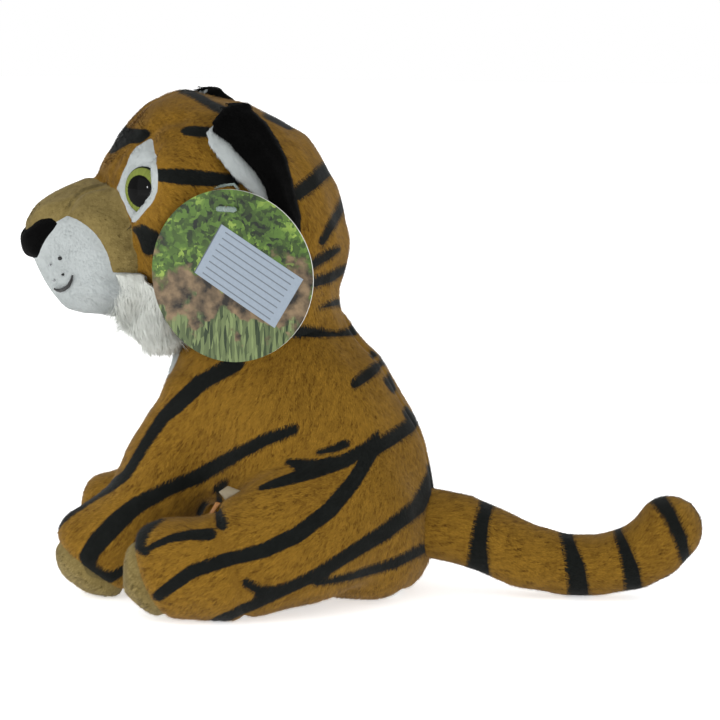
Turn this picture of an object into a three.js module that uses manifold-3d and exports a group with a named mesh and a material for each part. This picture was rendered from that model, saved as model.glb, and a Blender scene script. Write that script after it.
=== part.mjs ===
// A sitting plush tiger: stuffed plush torso, head, legs and tail, safety eyes, ears and a hang tag.
// The tiger faces -X, its left side faces -Y and it stands on Z = 0. Lengths are millimetres.
import * as THREE from 'three';
import { mergeVertices } from 'three/addons/utils/BufferGeometryUtils.js';
import Module from 'manifold-3d';

const wasm = await Module();
wasm.setup();

// Driving dimensions.
const torsoHeight = 124;
const torsoLength = 123;
const torsoWidth = 116;
const neckX = -45;
const headHeight = 112.5;
const headLength = 116;
const headWidth = 112;
const headTurnDegrees = 16;
const muzzleLength = 52;
const muzzleHeight = 66;
const muzzleWidth = 74;
const frontLegLength = 92;
const frontLegThickness = 43;
const frontLegWidth = 40;
const hindLegLength = 118;
const hindLegHeight = 76;
const hindLegWidth = 49;
const tailLength = 127;
const tailThickness = 33;
const skinThickness = 3;
const seamGap = 0.3;
const mergeTolerance = 1e-4;
const torsoBluntness = 2.3;
const headBluntness = 2.15;

// What each piece may swing through, in degrees, and the room that a swinging piece keeps.
const headTurnRange = [-46, 14];
const frontLegRange = [0, 20];
const hindLegRange = [0, 15];
const tailRange = [-30, 30];
const earRange = [-10, 15];
const sweepStep = 10;
const sweepRoom = 0.4;

const fabric = (colour) => new THREE.MeshStandardMaterial({ color: colour, roughness: 0.95, metalness: 0 });
const gloss = (colour) => new THREE.MeshStandardMaterial({ color: colour, roughness: 0.2, metalness: 0 });
const goldPlush = fabric(0xc78c33);
const whitePlush = fabric(0xd5d6d2);
const tanPlush = fabric(0xb0925c);
const blackPlush = fabric(0x0c0c0e);
const filling = fabric(0xe8e8e4);
const pellets = fabric(0xb9bcc0);
const satin = fabric(0xd9cfb8);
const eyePlastic = gloss(0x8f9a3e);
const washerPlastic = gloss(0x202124);
const clearPlastic = gloss(0xdfe4e6);
const tagCard = gloss(0x4f7a34);
const stickerPaper = gloss(0xb9c6d2);

const tiger = new THREE.Group();
const headTurn = THREE.MathUtils.degToRad(headTurnDegrees);
const headGroup = new THREE.Group();
headGroup.position.set(neckX, 0, 0);
headGroup.rotation.z = headTurn;
tiger.add(headGroup);

function addMesh(group, name, shape, material) {
  const mesh = new THREE.Mesh(geometryOf(shape), material);
  mesh.name = name;
  group.add(mesh);
}

// Solids: closed meshes in, booleans, closed meshes out.

function solidOf(geometry) {
  const plain = geometry.clone();
  plain.deleteAttribute('normal');
  plain.deleteAttribute('uv');
  const merged = mergeVertices(plain, mergeTolerance);
  const vertProperties = new Float32Array(merged.attributes.position.array);
  const triVerts = new Uint32Array(merged.index.array);
  return new wasm.Manifold(new wasm.Mesh({ numProp: 3, vertProperties, triVerts }));
}

function geometryOf(shape) {
  const mesh = shape.getMesh();
  const geometry = new THREE.BufferGeometry();
  geometry.setAttribute('position', new THREE.BufferAttribute(new Float32Array(mesh.vertProperties), 3));
  geometry.setIndex(new THREE.BufferAttribute(new Uint32Array(mesh.triVerts), 1));
  return geometry;
}

// The largest of the bodies that a cut leaves.
function largest(shape) {
  const bodies = shape.decompose();
  bodies.sort((first, second) => second.volume() - first.volume());
  return bodies[0];
}

function signedVolume(positions, index) {
  const a = new THREE.Vector3();
  const b = new THREE.Vector3();
  const c = new THREE.Vector3();
  let sum = 0;
  for (let i = 0; i < index.length; i += 3) {
    a.fromArray(positions, index[i] * 3);
    b.fromArray(positions, index[i + 1] * 3);
    c.fromArray(positions, index[i + 2] * 3);
    sum += a.dot(b.cross(c));
  }
  return sum;
}

function flipped(index) {
  const turned = [];
  for (let i = 0; i < index.length; i += 3) turned.push(index[i], index[i + 2], index[i + 1]);
  return turned;
}

// A closed form through rings of equal point counts. Its ends are closed by a point at each ring's
// centre or, where the ring isn't convex, by the faces of its own flat outline.
function loft(rings, endFaces = null) {
  const count = rings[0].length;
  const positions = [];
  const index = [];
  for (const ring of rings) for (const point of ring) positions.push(point.x, point.y, point.z);
  for (let row = 0; row + 1 < rings.length; row += 1) {
    for (let i = 0; i < count; i += 1) {
      const a = row * count + i;
      const b = row * count + (i + 1) % count;
      index.push(a, b, a + count, b, b + count, a + count);
    }
  }
  for (const row of [0, rings.length - 1]) {
    const faces = endFaces ?? centreFaces(rings[row], positions, row * count);
    for (const [a, b, c] of faces) {
      const end = [a, b, c].map((corner) => row * count + corner);
      index.push(...(row === 0 ? end.reverse() : end));
    }
  }
  const geometry = new THREE.BufferGeometry();
  const turned = signedVolume(positions, index) < 0 ? flipped(index) : index;
  geometry.setAttribute('position', new THREE.BufferAttribute(new Float32Array(positions), 3));
  geometry.setIndex(turned);
  return geometry;
}

function centreFaces(ring, positions, first) {
  const centre = new THREE.Vector3();
  for (const point of ring) centre.add(point);
  centre.divideScalar(ring.length);
  const tip = positions.length / 3 - first;
  positions.push(centre.x, centre.y, centre.z);
  return ring.map((point, i) => [tip, i, (i + 1) % ring.length]);
}

function outlineFaces(outline) {
  const corners = outline.map(([x, y]) => new THREE.Vector2(x, y));
  const faces = THREE.ShapeUtils.triangulateShape(corners, []);
  const firstFace = faces[0].map((i) => corners[i]);
  const sameWay = THREE.ShapeUtils.area(corners) * THREE.ShapeUtils.area(firstFace) > 0;
  return sameWay ? faces : faces.map(([a, b, c]) => [a, c, b]);
}

// A level ring: half an ellipse in front of its widest point and half behind, blunter than an ellipse.
function levelRing(front, back, halfWidth, z, sides, bluntness) {
  const middle = (front + back) / 2;
  const halfLength = (back - front) / 2;
  const ring = [];
  for (let i = 0; i < sides; i += 1) {
    const angle = i / sides * 2 * Math.PI;
    const power = 2 / bluntness;
    const x = Math.sign(Math.cos(angle)) * Math.abs(Math.cos(angle)) ** power;
    const y = Math.sign(Math.sin(angle)) * Math.abs(Math.sin(angle)) ** power;
    ring.push(new THREE.Vector3(middle + halfLength * x, halfWidth * y, z));
  }
  return ring;
}

// Rings square to a path in space; each station is [place, half thickness, half width].
function limbRings(stations, sides) {
  const across = new THREE.Vector3(0, 1, 0);
  return stations.map(([place, halfThickness, halfWidth], i) => {
    const before = stations[Math.max(i - 1, 0)][0];
    const after = stations[Math.min(i + 1, stations.length - 1)][0];
    const along = after.clone().sub(before).normalize();
    const side = across.clone().addScaledVector(along, -across.dot(along)).normalize();
    const up = side.clone().cross(along);
    const ring = [];
    for (let k = 0; k < sides; k += 1) {
      const angle = k / sides * 2 * Math.PI;
      ring.push(place.clone()
        .addScaledVector(up, halfThickness * Math.cos(angle))
        .addScaledVector(side, halfWidth * Math.sin(angle)));
    }
    return ring;
  });
}

// A limb's last station gets a round end of its own thickness, open by a small share at its pole.
const endSteps = 4;
const endOpenShare = 0.93;

function roundEnded(stations) {
  const [place, halfThickness, halfWidth] = stations[stations.length - 1];
  const before = stations[stations.length - 2][0];
  const along = place.clone().sub(before).normalize();
  const rounded = [...stations];
  for (let i = 1; i <= endSteps; i += 1) {
    const angle = Math.PI / 2 * Math.min(i / endSteps, endOpenShare);
    const end = place.clone().addScaledVector(along, halfThickness * Math.sin(angle));
    rounded.push([end, halfThickness * Math.cos(angle), halfWidth * Math.cos(angle)]);
  }
  return rounded;
}

// The same form with its surface moved out (or, for a negative distance, in) along its normals.
function grown(geometry, distance) {
  const copy = mergeVertices(geometry.clone(), mergeTolerance);
  copy.deleteAttribute('normal');
  copy.computeVertexNormals();
  const place = copy.attributes.position;
  const normal = copy.attributes.normal;
  for (let i = 0; i < place.count; i += 1) {
    place.setXYZ(
      i,
      place.getX(i) + normal.getX(i) * distance,
      place.getY(i) + normal.getY(i) * distance,
      place.getZ(i) + normal.getZ(i) * distance,
    );
  }
  copy.deleteAttribute('normal');
  return copy;
}

// An outline in the X-Z plane, given as [x, z] points, carried from one Y to another.
function prism(points, fromY, toY) {
  const shape = new THREE.Shape(points.map(([x, z]) => new THREE.Vector2(x, z)));
  const geometry = new THREE.ExtrudeGeometry(shape, { depth: toY - fromY, bevelEnabled: false, steps: 1 });
  geometry.rotateX(Math.PI / 2);
  geometry.translate(0, toY, 0);
  return solidOf(geometry);
}

// The closed outline moved out by a distance at every corner; a sharp corner is moved no further than
// a blunt one of this share.
const sharpCornerShare = 0.4;

function offsetOutline(points, distance) {
  const corners = points.map(([x, z]) => new THREE.Vector2(x, z));
  const clockwise = THREE.ShapeUtils.isClockWise(corners) ? 1 : -1;
  return corners.map((corner, i) => {
    const before = corners[(i + corners.length - 1) % corners.length];
    const after = corners[(i + 1) % corners.length];
    const first = corner.clone().sub(before).normalize();
    const second = after.clone().sub(corner).normalize();
    const normal = new THREE.Vector2(-first.y - second.y, first.x + second.x).normalize();
    const spread = Math.max(normal.dot(new THREE.Vector2(-first.y, first.x)), sharpCornerShare);
    const moved = corner.clone().addScaledVector(normal, clockwise * distance / spread);
    return [moved.x, moved.y];
  });
}

function block(lowX, highX, lowY, highY, lowZ, highZ) {
  const geometry = new THREE.BoxGeometry(highX - lowX, highY - lowY, highZ - lowZ);
  geometry.translate((lowX + highX) / 2, (lowY + highY) / 2, (lowZ + highZ) / 2);
  return solidOf(geometry);
}

function mirrored(geometry) {
  const copy = geometry.clone();
  copy.applyMatrix4(new THREE.Matrix4().makeScale(1, -1, 1));
  copy.setIndex(flipped(Array.from(copy.index.array)));
  return copy;
}

// Everything that a fixed form reaches, seen from a piece that swings about an axis in a range.
function swept(geometry, pivot, axis, range, step = sweepStep) {
  const count = Math.max(Math.ceil((range[1] - range[0]) / step), 1);
  let sum = null;
  for (let i = 0; i <= count; i += 1) {
    const angle = THREE.MathUtils.degToRad(range[0] + (range[1] - range[0]) * i / count);
    const copy = geometry.clone();
    copy.translate(-pivot.x, -pivot.y, -pivot.z);
    copy.applyMatrix4(new THREE.Matrix4().makeRotationAxis(axis, -angle));
    copy.translate(pivot.x, pivot.y, pivot.z);
    const turned = solidOf(copy);
    sum = sum ? sum.add(turned) : turned;
  }
  return sum;
}

function revolved(profile, sides) {
  const points = profile.map(([radius, height]) => new THREE.Vector2(radius, height));
  return new THREE.LatheGeometry(points, sides);
}

// Torso: a pear-shaped sack. Each ring gives height, front, back and half width as shares.
const torsoRingShares = [
  [-0.004, 0.195, 0.53, 0.16],
  [0.04, 0.12, 0.595, 0.27],
  [0.12, 0.04, 0.638, 0.37],
  [0.22, -0.04, 0.65, 0.444],
  [0.32, -0.14, 0.65, 0.485],
  [0.435, -0.235, 0.642, 0.49],
  [0.59, -0.32, 0.593, 0.457],
  [0.735, -0.362, 0.52, 0.414],
  [0.887, -0.355, 0.431, 0.36],
  [0.96, -0.333, 0.358, 0.334],
  [1.01, -0.316, 0.325, 0.322],
  [1.075, -0.28, 0.28, 0.28],
];
const torsoSides = 20;

function torsoForm() {
  return loft(torsoRingShares.map(([height, front, back, width]) => levelRing(
    neckX + front * torsoLength,
    neckX + back * torsoLength,
    width * torsoWidth,
    height * torsoHeight,
    torsoSides,
    torsoBluntness,
  )));
}

const torsoOuter = torsoForm();
const torsoInner = grown(torsoOuter, -skinThickness);
const torsoStuffing = grown(torsoOuter, -skinThickness - seamGap);
const torsoRoom = grown(torsoOuter, sweepRoom);

// The chest and belly panel runs from the neck down the front and under the seat.
const chestHalfWidth = 16;
const bellyBackShares = [[0.72, 0.1], [0.42, 0.28], [0.0, 0.52]];
const pelletTopShare = 0.26;

function bellyOutline() {
  const low = -torsoHeight;
  const front = neckX - torsoLength;
  const back = neckX + torsoLength;
  const bend = bellyBackShares.map(([x, z]) => [neckX + x * torsoLength, z * torsoHeight]);
  const high = torsoHeight * 2;
  return [[front, low], [back, low], [back, bend[0][1]], ...bend, [neckX, high], [front, high]];
}

function belowNeck(shape, bottom, gap) {
  const top = torsoHeight - gap / 2;
  const room = torsoLength + torsoWidth;
  return shape.intersect(block(-room, room, -room, room, bottom, top));
}

function buildTorso() {
  const shell = belowNeck(solidOf(torsoOuter).subtract(solidOf(torsoInner)), 0, seamGap);
  const outline = bellyOutline();
  const strip = prism(outline, -chestHalfWidth, chestHalfWidth);
  const half = chestHalfWidth + seamGap;
  const cleared = prism(offsetOutline(outline, seamGap), -half, half);
  addMesh(tiger, 'chest_belly_panel', largest(shell.intersect(strip)), whitePlush);
  const room = torsoLength + torsoWidth;
  for (const [name, low, high] of [['left', -room, -seamGap / 2], ['right', seamGap / 2, room]]) {
    const side = block(-room, room, low, high, -room, room);
    addMesh(tiger, `side_panel_${name}`, largest(shell.subtract(cleared).intersect(side)), goldPlush);
  }
  const stuffing = belowNeck(solidOf(torsoStuffing), 0, seamGap);
  const bagTop = pelletTopShare * torsoHeight;
  const upper = block(-room, room, -room, room, bagTop + seamGap, room);
  const lower = block(-room, room, -room, room, -room, bagTop);
  addMesh(tiger, 'body_filling', largest(stuffing.intersect(upper)), filling);
  addMesh(tiger, 'pellet_bag', largest(stuffing.intersect(lower)), pellets);
}

// Head: a round skull and a muzzle lofted along the head's length. Lengths run from the neck's axis.
const skullRingShares = [
  [-0.1, -0.28, 0.28, 0.27],
  [0.0, -0.353, 0.353, 0.33],
  [0.07, -0.46, 0.335, 0.388],
  [0.175, -0.56, 0.319, 0.438],
  [0.285, -0.62, 0.328, 0.473],
  [0.39, -0.647, 0.334, 0.496],
  [0.5, -0.66, 0.31, 0.50],
  [0.605, -0.66, 0.276, 0.491],
  [0.71, -0.638, 0.224, 0.464],
  [0.8, -0.595, 0.164, 0.42],
  [0.87, -0.54, 0.07, 0.357],
  [0.935, -0.465, -0.078, 0.268],
  [0.98, -0.40, -0.2, 0.16],
  [1.0, -0.345, -0.28, 0.06],
];
const muzzleRingShares = [
  [-0.1, 0.03, 1.0, 0.5],
  [0.1, 0.01, 1.0, 0.51],
  [0.3, 0.0, 0.985, 0.50],
  [0.48, 0.01, 0.965, 0.472],
  [0.62, 0.055, 0.93, 0.43],
  [0.74, 0.18, 0.885, 0.37],
  [0.86, 0.33, 0.815, 0.28],
  [0.94, 0.42, 0.74, 0.19],
  [0.985, 0.48, 0.65, 0.1],
];
const skullSides = 20;
const muzzleSides = 12;
const muzzleBaseShares = [-0.5172, 0.0711];
const muzzleBaseX = muzzleBaseShares[0] * headLength;
const muzzleBaseZ = torsoHeight + muzzleBaseShares[1] * headHeight;

function skullForm() {
  return loft(skullRingShares.map(([height, front, back, width]) => levelRing(
    front * headLength,
    back * headLength,
    width * headWidth,
    torsoHeight + height * headHeight,
    skullSides,
    headBluntness,
  )));
}

function muzzleForm() {
  return loft(muzzleRingShares.map(([reach, low, high, width]) => {
    const x = muzzleBaseX - reach * muzzleLength;
    const middle = muzzleBaseZ + (low + high) / 2 * muzzleHeight;
    const halfHeight = (high - low) / 2 * muzzleHeight;
    const ring = levelRing(-halfHeight, halfHeight, width * muzzleWidth, 0, muzzleSides, headBluntness);
    return ring.map((point) => new THREE.Vector3(x, point.y, middle + point.x));
  }));
}

const skull = skullForm();
const muzzle = muzzleForm();

function headSolid(distance) {
  return solidOf(grown(skull, distance)).add(solidOf(grown(muzzle, distance)));
}

function aboveNeck(shape) {
  const room = headLength + headWidth;
  return shape.intersect(block(-room, room, -room, room, torsoHeight + seamGap / 2, torsoHeight + room));
}

// Outlines on the muzzle and face, as shares of the muzzle's length and height from its base.
const noseShares = [
  [0.7, 0.68], [0.76, 0.61], [0.86, 0.46], [0.9, 0.4], [1.3, 0.38], [1.3, 0.72], [0.9, 0.7],
];
const whiteSeamShares = [
  [0.70, 0.70], [0.64, 0.76], [0.48, 0.67], [0.38, 0.55], [0.29, 0.44], [0.23, 0.38],
];
const chinSeamShares = [[1.3, 0.17], [0.75, 0.17], [0.15, 0.1]];
const cheekSeamShares = [[0.3, 1.0], [0.42, 0.9], [0.64, 0.79]];
const tanBackShares = [[0.04, 0.38], [0.035, 0.62], [0.08, 0.8], [0.17, 0.94], [0.34, 1.0]];
const whiteLowBackShares = [0.17, -0.3];
const beyondMuzzleShares = [1.6, 1.5];
const noseStandOut = 1.5;

function facePoint([reach, height]) {
  return [muzzleBaseX - reach * muzzleLength, muzzleBaseZ + height * muzzleHeight];
}

// Eye: a domed disc with a stem through the eye patch, locked by a washer inside.
const eyeRadius = 10.3;
const eyeDome = 6.2;
const eyeEdge = 1.2;
const stemRadius = 2.4;
const stemLength = 9;
const washerRadius = 8.5;
const washerThickness = 1.5;
const eyeSides = 16;
const washerSides = 12;
const eyeProfileSteps = 6;
const eyePlaceShares = [-0.525, 0.625, 0.355];
const eyeAimShare = -0.194;
const eyePatchShares = [
  [-0.474, 0.84], [-0.45, 0.78], [-0.44, 0.68], [-0.45, 0.58], [-0.49, 0.51], [-0.55, 0.475],
  [-0.61, 0.5], [-0.655, 0.57], [-0.66, 0.66], [-0.60, 0.74], [-0.56, 0.8], [-0.52, 0.84],
];

function eyeFrame(side) {
  const [x, z, y] = eyePlaceShares;
  const place = new THREE.Vector3(x * headLength, side * y * headWidth, torsoHeight + z * headHeight);
  const outward = new THREE.Vector3(place.x - eyeAimShare * headLength, place.y, 0).normalize();
  const turn = new THREE.Quaternion().setFromUnitVectors(new THREE.Vector3(0, 1, 0), outward);
  return new THREE.Matrix4().compose(place, turn, new THREE.Vector3(1, 1, 1));
}

function eyeProfile(room) {
  const points = [[0, eyeDome + room]];
  for (let i = 1; i <= eyeProfileSteps; i += 1) {
    const angle = i / eyeProfileSteps * Math.PI / 2;
    points.push([(eyeRadius + room) * Math.sin(angle), eyeDome * Math.cos(angle) + room]);
  }
  points.push([eyeRadius + room, -eyeEdge - room]);
  points.push([stemRadius + room, -eyeEdge - room]);
  points.push([stemRadius + room, -stemLength - room]);
  points.push([0, -stemLength - room]);
  return points;
}

function washerProfile(room) {
  const top = -eyeEdge - skinThickness - seamGap;
  const bottom = top - washerThickness;
  const bore = stemRadius + seamGap - room;
  return [
    [bore, top + room], [washerRadius + room, top + room],
    [washerRadius + room, bottom - room], [bore, bottom - room], [bore, top + room],
  ];
}

function eyeSolid(side, room) {
  return solidOf(revolved(eyeProfile(room).reverse(), eyeSides).applyMatrix4(eyeFrame(side)));
}

function washerSolid(side, room) {
  return solidOf(revolved(washerProfile(room).reverse(), washerSides).applyMatrix4(eyeFrame(side)));
}

// Hang tag: a round card that hangs from a clear plastic pin beside the cheek.
const tagRadius = 37.7;
const tagThickness = 0.7;
const tagTurnDegrees = 28;
const tagHoleRadius = 2.4;
const tagHoleRise = 28.9;
const tagHoleAside = 3.3;
const tagSides = 24;
const stickerLength = 45;
const stickerWidth = 26;
const stickerThickness = 0.3;
const stickerGap = 0.1;
const stickerAside = 8;
const stickerTurnDegrees = 31;
const tagHoleShares = [-0.221, 0.577, 0.61];

// Tag pin: a clear filament from inside the head, through the tag's hole, to a T-bar in front of it.
const pinRadius = 0.7;
const pinBarLength = 10;
const pinBarRadius = 1.3;
const pinEntryShares = [-0.265, 0.64];
const pinInsideShare = 0.41;
const pinOutsideShare = 0.545;
const pinSides = 8;
const pinBehindTag = 4;
const pinBeforeTag = 2.4;

const tagTurn = THREE.MathUtils.degToRad(tagTurnDegrees);
const tagAcross = new THREE.Vector3(Math.cos(tagTurn), -Math.sin(tagTurn), 0);
const tagOutward = new THREE.Vector3(-Math.sin(tagTurn), -Math.cos(tagTurn), 0);

function tagHolePlace() {
  const [x, z, y] = tagHoleShares;
  return new THREE.Vector3(x * headLength, -y * headWidth, torsoHeight + z * headHeight);
}

function rod(from, to, radius) {
  const along = to.clone().sub(from);
  const geometry = new THREE.CylinderGeometry(radius, radius, along.length() + radius * 2, pinSides);
  const turn = new THREE.Quaternion().setFromUnitVectors(new THREE.Vector3(0, 1, 0), along.normalize());
  const middle = from.clone().add(to).multiplyScalar(0.5);
  geometry.applyMatrix4(new THREE.Matrix4().compose(middle, turn, new THREE.Vector3(1, 1, 1)));
  return solidOf(geometry);
}

function pinSolid(room) {
  const [x, z] = pinEntryShares;
  const hole = tagHolePlace();
  const height = torsoHeight + z * headHeight;
  const inside = new THREE.Vector3(x * headLength, -pinInsideShare * headWidth, height);
  const outside = new THREE.Vector3(x * headLength, -pinOutsideShare * headWidth, height);
  const behind = hole.clone().addScaledVector(tagOutward, -pinBehindTag);
  const before = hole.clone().addScaledVector(tagOutward, pinBeforeTag);
  const half = tagAcross.clone().multiplyScalar(pinBarLength / 2);
  return rod(inside, outside, pinRadius + room)
    .add(rod(outside, behind, pinRadius + room))
    .add(rod(behind, before, pinRadius + room))
    .add(rod(before.clone().sub(half), before.clone().add(half), pinBarRadius + room))
    .add(rod(inside.clone().sub(half), inside.clone().add(half), pinBarRadius + room));
}

// A flat plate's place: its X across the tag, its Y up and its Z out of the tag's front.
function onTag(geometry, aside, rise, out) {
  const place = tagHolePlace()
    .addScaledVector(tagAcross, tagHoleAside + aside)
    .addScaledVector(tagOutward, out);
  place.z += rise - tagHoleRise;
  const basis = new THREE.Matrix4().makeBasis(tagAcross, new THREE.Vector3(0, 0, 1), tagOutward);
  geometry.applyMatrix4(basis);
  geometry.translate(place.x, place.y, place.z);
  return solidOf(geometry);
}

function buildTag() {
  const disc = new THREE.Shape();
  disc.absarc(0, 0, tagRadius, 0, Math.PI * 2);
  const hole = new THREE.Path();
  hole.absarc(-tagHoleAside, tagHoleRise, tagHoleRadius, 0, Math.PI * 2, true);
  disc.holes.push(hole);
  const card = new THREE.ExtrudeGeometry(disc, {
    depth: tagThickness, bevelEnabled: false, steps: 1, curveSegments: tagSides,
  });
  card.translate(0, 0, -tagThickness / 2);
  addMesh(headGroup, 'hang_tag', onTag(card, 0, 0, 0), tagCard);
  const paper = new THREE.BoxGeometry(stickerLength, stickerWidth, stickerThickness);
  paper.rotateZ(-THREE.MathUtils.degToRad(stickerTurnDegrees));
  const out = tagThickness / 2 + stickerGap + stickerThickness / 2;
  addMesh(headGroup, 'tag_sticker', onTag(paper, stickerAside, 0, out), stickerPaper);
}

function buildHead() {
  const outer = headSolid(0);
  const inner = headSolid(-skinThickness);
  const stuffing = headSolid(-skinThickness - seamGap);
  const nosePoints = noseShares.map(facePoint);
  const room = headLength + headWidth;
  const noseZone = prism(nosePoints, -room, room);
  const noseCleared = prism(offsetOutline(nosePoints, seamGap), -room, room);
  let eyes = null;
  for (const side of [-1, 1]) {
    const cut = eyeSolid(side, seamGap).add(washerSolid(side, seamGap));
    eyes = eyes ? eyes.add(cut) : cut;
  }
  const pin = pinSolid(0);
  const pinRoom = pinSolid(seamGap);
  const shell = aboveNeck(outer.subtract(inner)).subtract(eyes).subtract(pinRoom);
  const nose = headSolid(noseStandOut).subtract(headSolid(-skinThickness + seamGap)).intersect(noseZone);
  addMesh(headGroup, 'nose', largest(nose), blackPlush);
  const headStuffing = aboveNeck(stuffing).subtract(eyes).subtract(pinRoom);
  addMesh(headGroup, 'head_filling', largest(headStuffing), filling);
  addMesh(headGroup, 'tag_pin', pin, clearPlastic);

  const face = shell.subtract(noseCleared);
  const whiteSeam = whiteSeamShares.map(facePoint);
  const chinSeam = chinSeamShares.map(facePoint);
  const cheekSeam = cheekSeamShares.map(facePoint);
  const tanBack = tanBackShares.map(facePoint);
  const [whiteBack, floor] = facePoint(whiteLowBackShares);
  const [farFront, sky] = facePoint(beyondMuzzleShares);
  const whiteLow = [[whiteBack, floor], [farFront, floor], [farFront, whiteSeam[0][1]]];
  const muzzleOutline = [
    ...tanBack, [tanBack[4][0], sky], [farFront, sky],
    [farFront, floor], [whiteBack, floor], whiteSeam[5],
  ];
  const whiteOutline = [...whiteSeam, ...whiteLow];
  const chinOutline = [...chinSeam, [chinSeam[2][0], floor], [farFront, floor]];
  const bridgeOutline = [
    ...cheekSeam, whiteSeam[1], whiteSeam[0],
    [farFront, whiteSeam[0][1]], [farFront, sky], [cheekSeam[0][0], sky],
  ];
  const full = (points) => prism(points, -room, room);
  const roomy = (points) => full(offsetOutline(points, seamGap));
  const muzzleShell = face.intersect(full(muzzleOutline));
  const white = muzzleShell.intersect(full(whiteOutline));
  const tan = muzzleShell.subtract(roomy(whiteOutline));
  addMesh(headGroup, 'chin_panel', largest(white.intersect(full(chinOutline))), whitePlush);
  addMesh(headGroup, 'muzzle_bridge', largest(tan.intersect(full(bridgeOutline))), tanPlush);
  const patchInset = muzzleWidth / 6;
  const eyePatch = eyePatchShares.map(([x, z]) => [x * headLength, torsoHeight + z * headHeight]);
  const sides = [['left', -room, -seamGap / 2, -1], ['right', seamGap / 2, room, 1]];
  for (const [name, low, high, side] of sides) {
    const half = block(-room, room, low, high, -room, room + torsoHeight + headHeight);
    const whiteSide = white.subtract(roomy(chinOutline)).intersect(half);
    const cheek = tan.subtract(roomy(bridgeOutline)).intersect(half);
    const skin = face.subtract(roomy(muzzleOutline)).intersect(half);
    const patchLow = side < 0 ? -room : patchInset;
    const patchHigh = side < 0 ? -patchInset : room;
    const patch = prism(eyePatch, patchLow, patchHigh);
    const patchRoom = prism(offsetOutline(eyePatch, seamGap), patchLow, patchHigh);
    addMesh(headGroup, `muzzle_white_${name}`, largest(whiteSide), whitePlush);
    addMesh(headGroup, `muzzle_cheek_${name}`, largest(cheek), tanPlush);
    addMesh(headGroup, `eye_patch_${name}`, largest(skin.intersect(patch)), whitePlush);
    addMesh(headGroup, `head_side_${name}`, largest(skin.subtract(patchRoom)), goldPlush);
    addMesh(headGroup, `eye_${name}`, eyeSolid(side, 0), eyePlastic);
    addMesh(headGroup, `eye_washer_${name}`, washerSolid(side, 0), washerPlastic);
  }
}

// Beard: a long-pile tuft under the chin and up behind the white snout.
const beardRingShares = [
  [0.16, -0.655, -0.40, 0.23],
  [0.075, -0.62, -0.37, 0.235],
  [-0.01, -0.51, -0.355, 0.19],
  [-0.065, -0.45, -0.375, 0.09],
];
const ruffShares = [[0.2, 0.4], [0.03, 0.39], [-0.1, 0.27], [-0.12, -0.1], [0.2, -0.1]];
const ruffStandOut = 3.5;
const beardSides = 14;

function buildBeard() {
  const wedge = solidOf(loft(beardRingShares.map(([height, front, back, width]) => levelRing(
    front * headLength,
    back * headLength,
    width * headWidth,
    torsoHeight + height * headHeight,
    beardSides,
    headBluntness,
  ))));
  const room = headLength + headWidth;
  const ruff = headSolid(ruffStandOut).intersect(prism(ruffShares.map(facePoint), -room, room));
  const torsoFromHead = torsoRoom.clone();
  torsoFromHead.translate(-neckX, 0, 0);
  torsoFromHead.rotateZ(-headTurn);
  const origin = new THREE.Vector3();
  const upward = new THREE.Vector3(0, 0, 1);
  const chest = belowNeck(swept(torsoFromHead, origin, upward, headTurnRange), -torsoHeight, -seamGap);
  const beard = wedge.add(aboveNeck(ruff)).subtract(headSolid(seamGap)).subtract(chest);
  addMesh(headGroup, 'chin_beard', largest(beard), whitePlush);
}

// Ears: a cupped flap of black plush with a white lining, hinged along its seam on the head.
// Places give forward, side and height as shares; the right ear is sewn a little lower and further forward.
const earPlaceShares = {
  left: { top: [-0.185, -0.275, 0.955], low: [0.035, -0.49, 0.44] },
  right: { top: [-0.2, 0.286, 0.94], low: [0.0, 0.48, 0.43] },
};
const earLean = 0.42;
const earDepth = 20;
const earBackShares = [
  [0, -0.1], [-0.45, 0.1], [-0.6, 0.45], [-0.35, 0.8], [0.15, 0.95], [0.76, 0.8],
  [0.72, 0.65], [0.15, 0.76], [-0.22, 0.62], [-0.38, 0.4], [-0.25, 0.22], [0.1, 0.05],
];
const earLiningShares = [
  [0.18, 0.06], [-0.215, 0.25], [-0.34, 0.41], [-0.19, 0.59], [0.15, 0.73], [0.7, 0.62], [1.06, 0.42],
  [1.0, 0.32], [0.6, 0.51], [0.15, 0.61], [-0.1, 0.5], [-0.2, 0.38], [0, 0.28], [0.25, 0.15],
];
const earStationShares = [0.02, 0.07, 0.16, 0.3, 0.5, 0.7, 0.84, 0.93, 0.98];
const earSquareness = 4;

function earHinge(name) {
  const [top, low] = ['top', 'low'].map((end) => {
    const [x, y, z] = earPlaceShares[name][end];
    return new THREE.Vector3(x * headLength, y * headWidth, torsoHeight + z * headHeight);
  });
  const along = top.clone().sub(low).normalize();
  return { top, low, along, side: Math.sign(top.y) };
}

function earForm({ top, low, along, side }, sectionShares) {
  const outward = new THREE.Vector3(earLean, side, 0);
  outward.addScaledVector(along, -outward.dot(along)).normalize();
  const forward = outward.clone().cross(along).multiplyScalar(-side);
  return loft(earStationShares.map((station) => {
    const size = earDepth * Math.sqrt(1 - Math.abs(2 * station - 1) ** earSquareness);
    const place = top.clone().lerp(low, station);
    return sectionShares.map(([ahead, out]) => place.clone()
      .addScaledVector(forward, ahead * size)
      .addScaledVector(outward, out * size));
  }), outlineFaces(sectionShares));
}

function buildEars() {
  const headRoom = geometryOf(headSolid(sweepRoom));
  for (const name of ['left', 'right']) {
    const hinge = earHinge(name);
    const opening = hinge.along.clone().multiplyScalar(-hinge.side);
    const reach = swept(headRoom, hinge.top, opening, earRange);
    const back = solidOf(earForm(hinge, earBackShares)).subtract(reach);
    const lining = solidOf(earForm(hinge, earLiningShares)).subtract(reach);
    addMesh(headGroup, `ear_back_${name}`, largest(back), blackPlush);
    addMesh(headGroup, `ear_lining_${name}`, largest(lining), whitePlush);
  }
}

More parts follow.
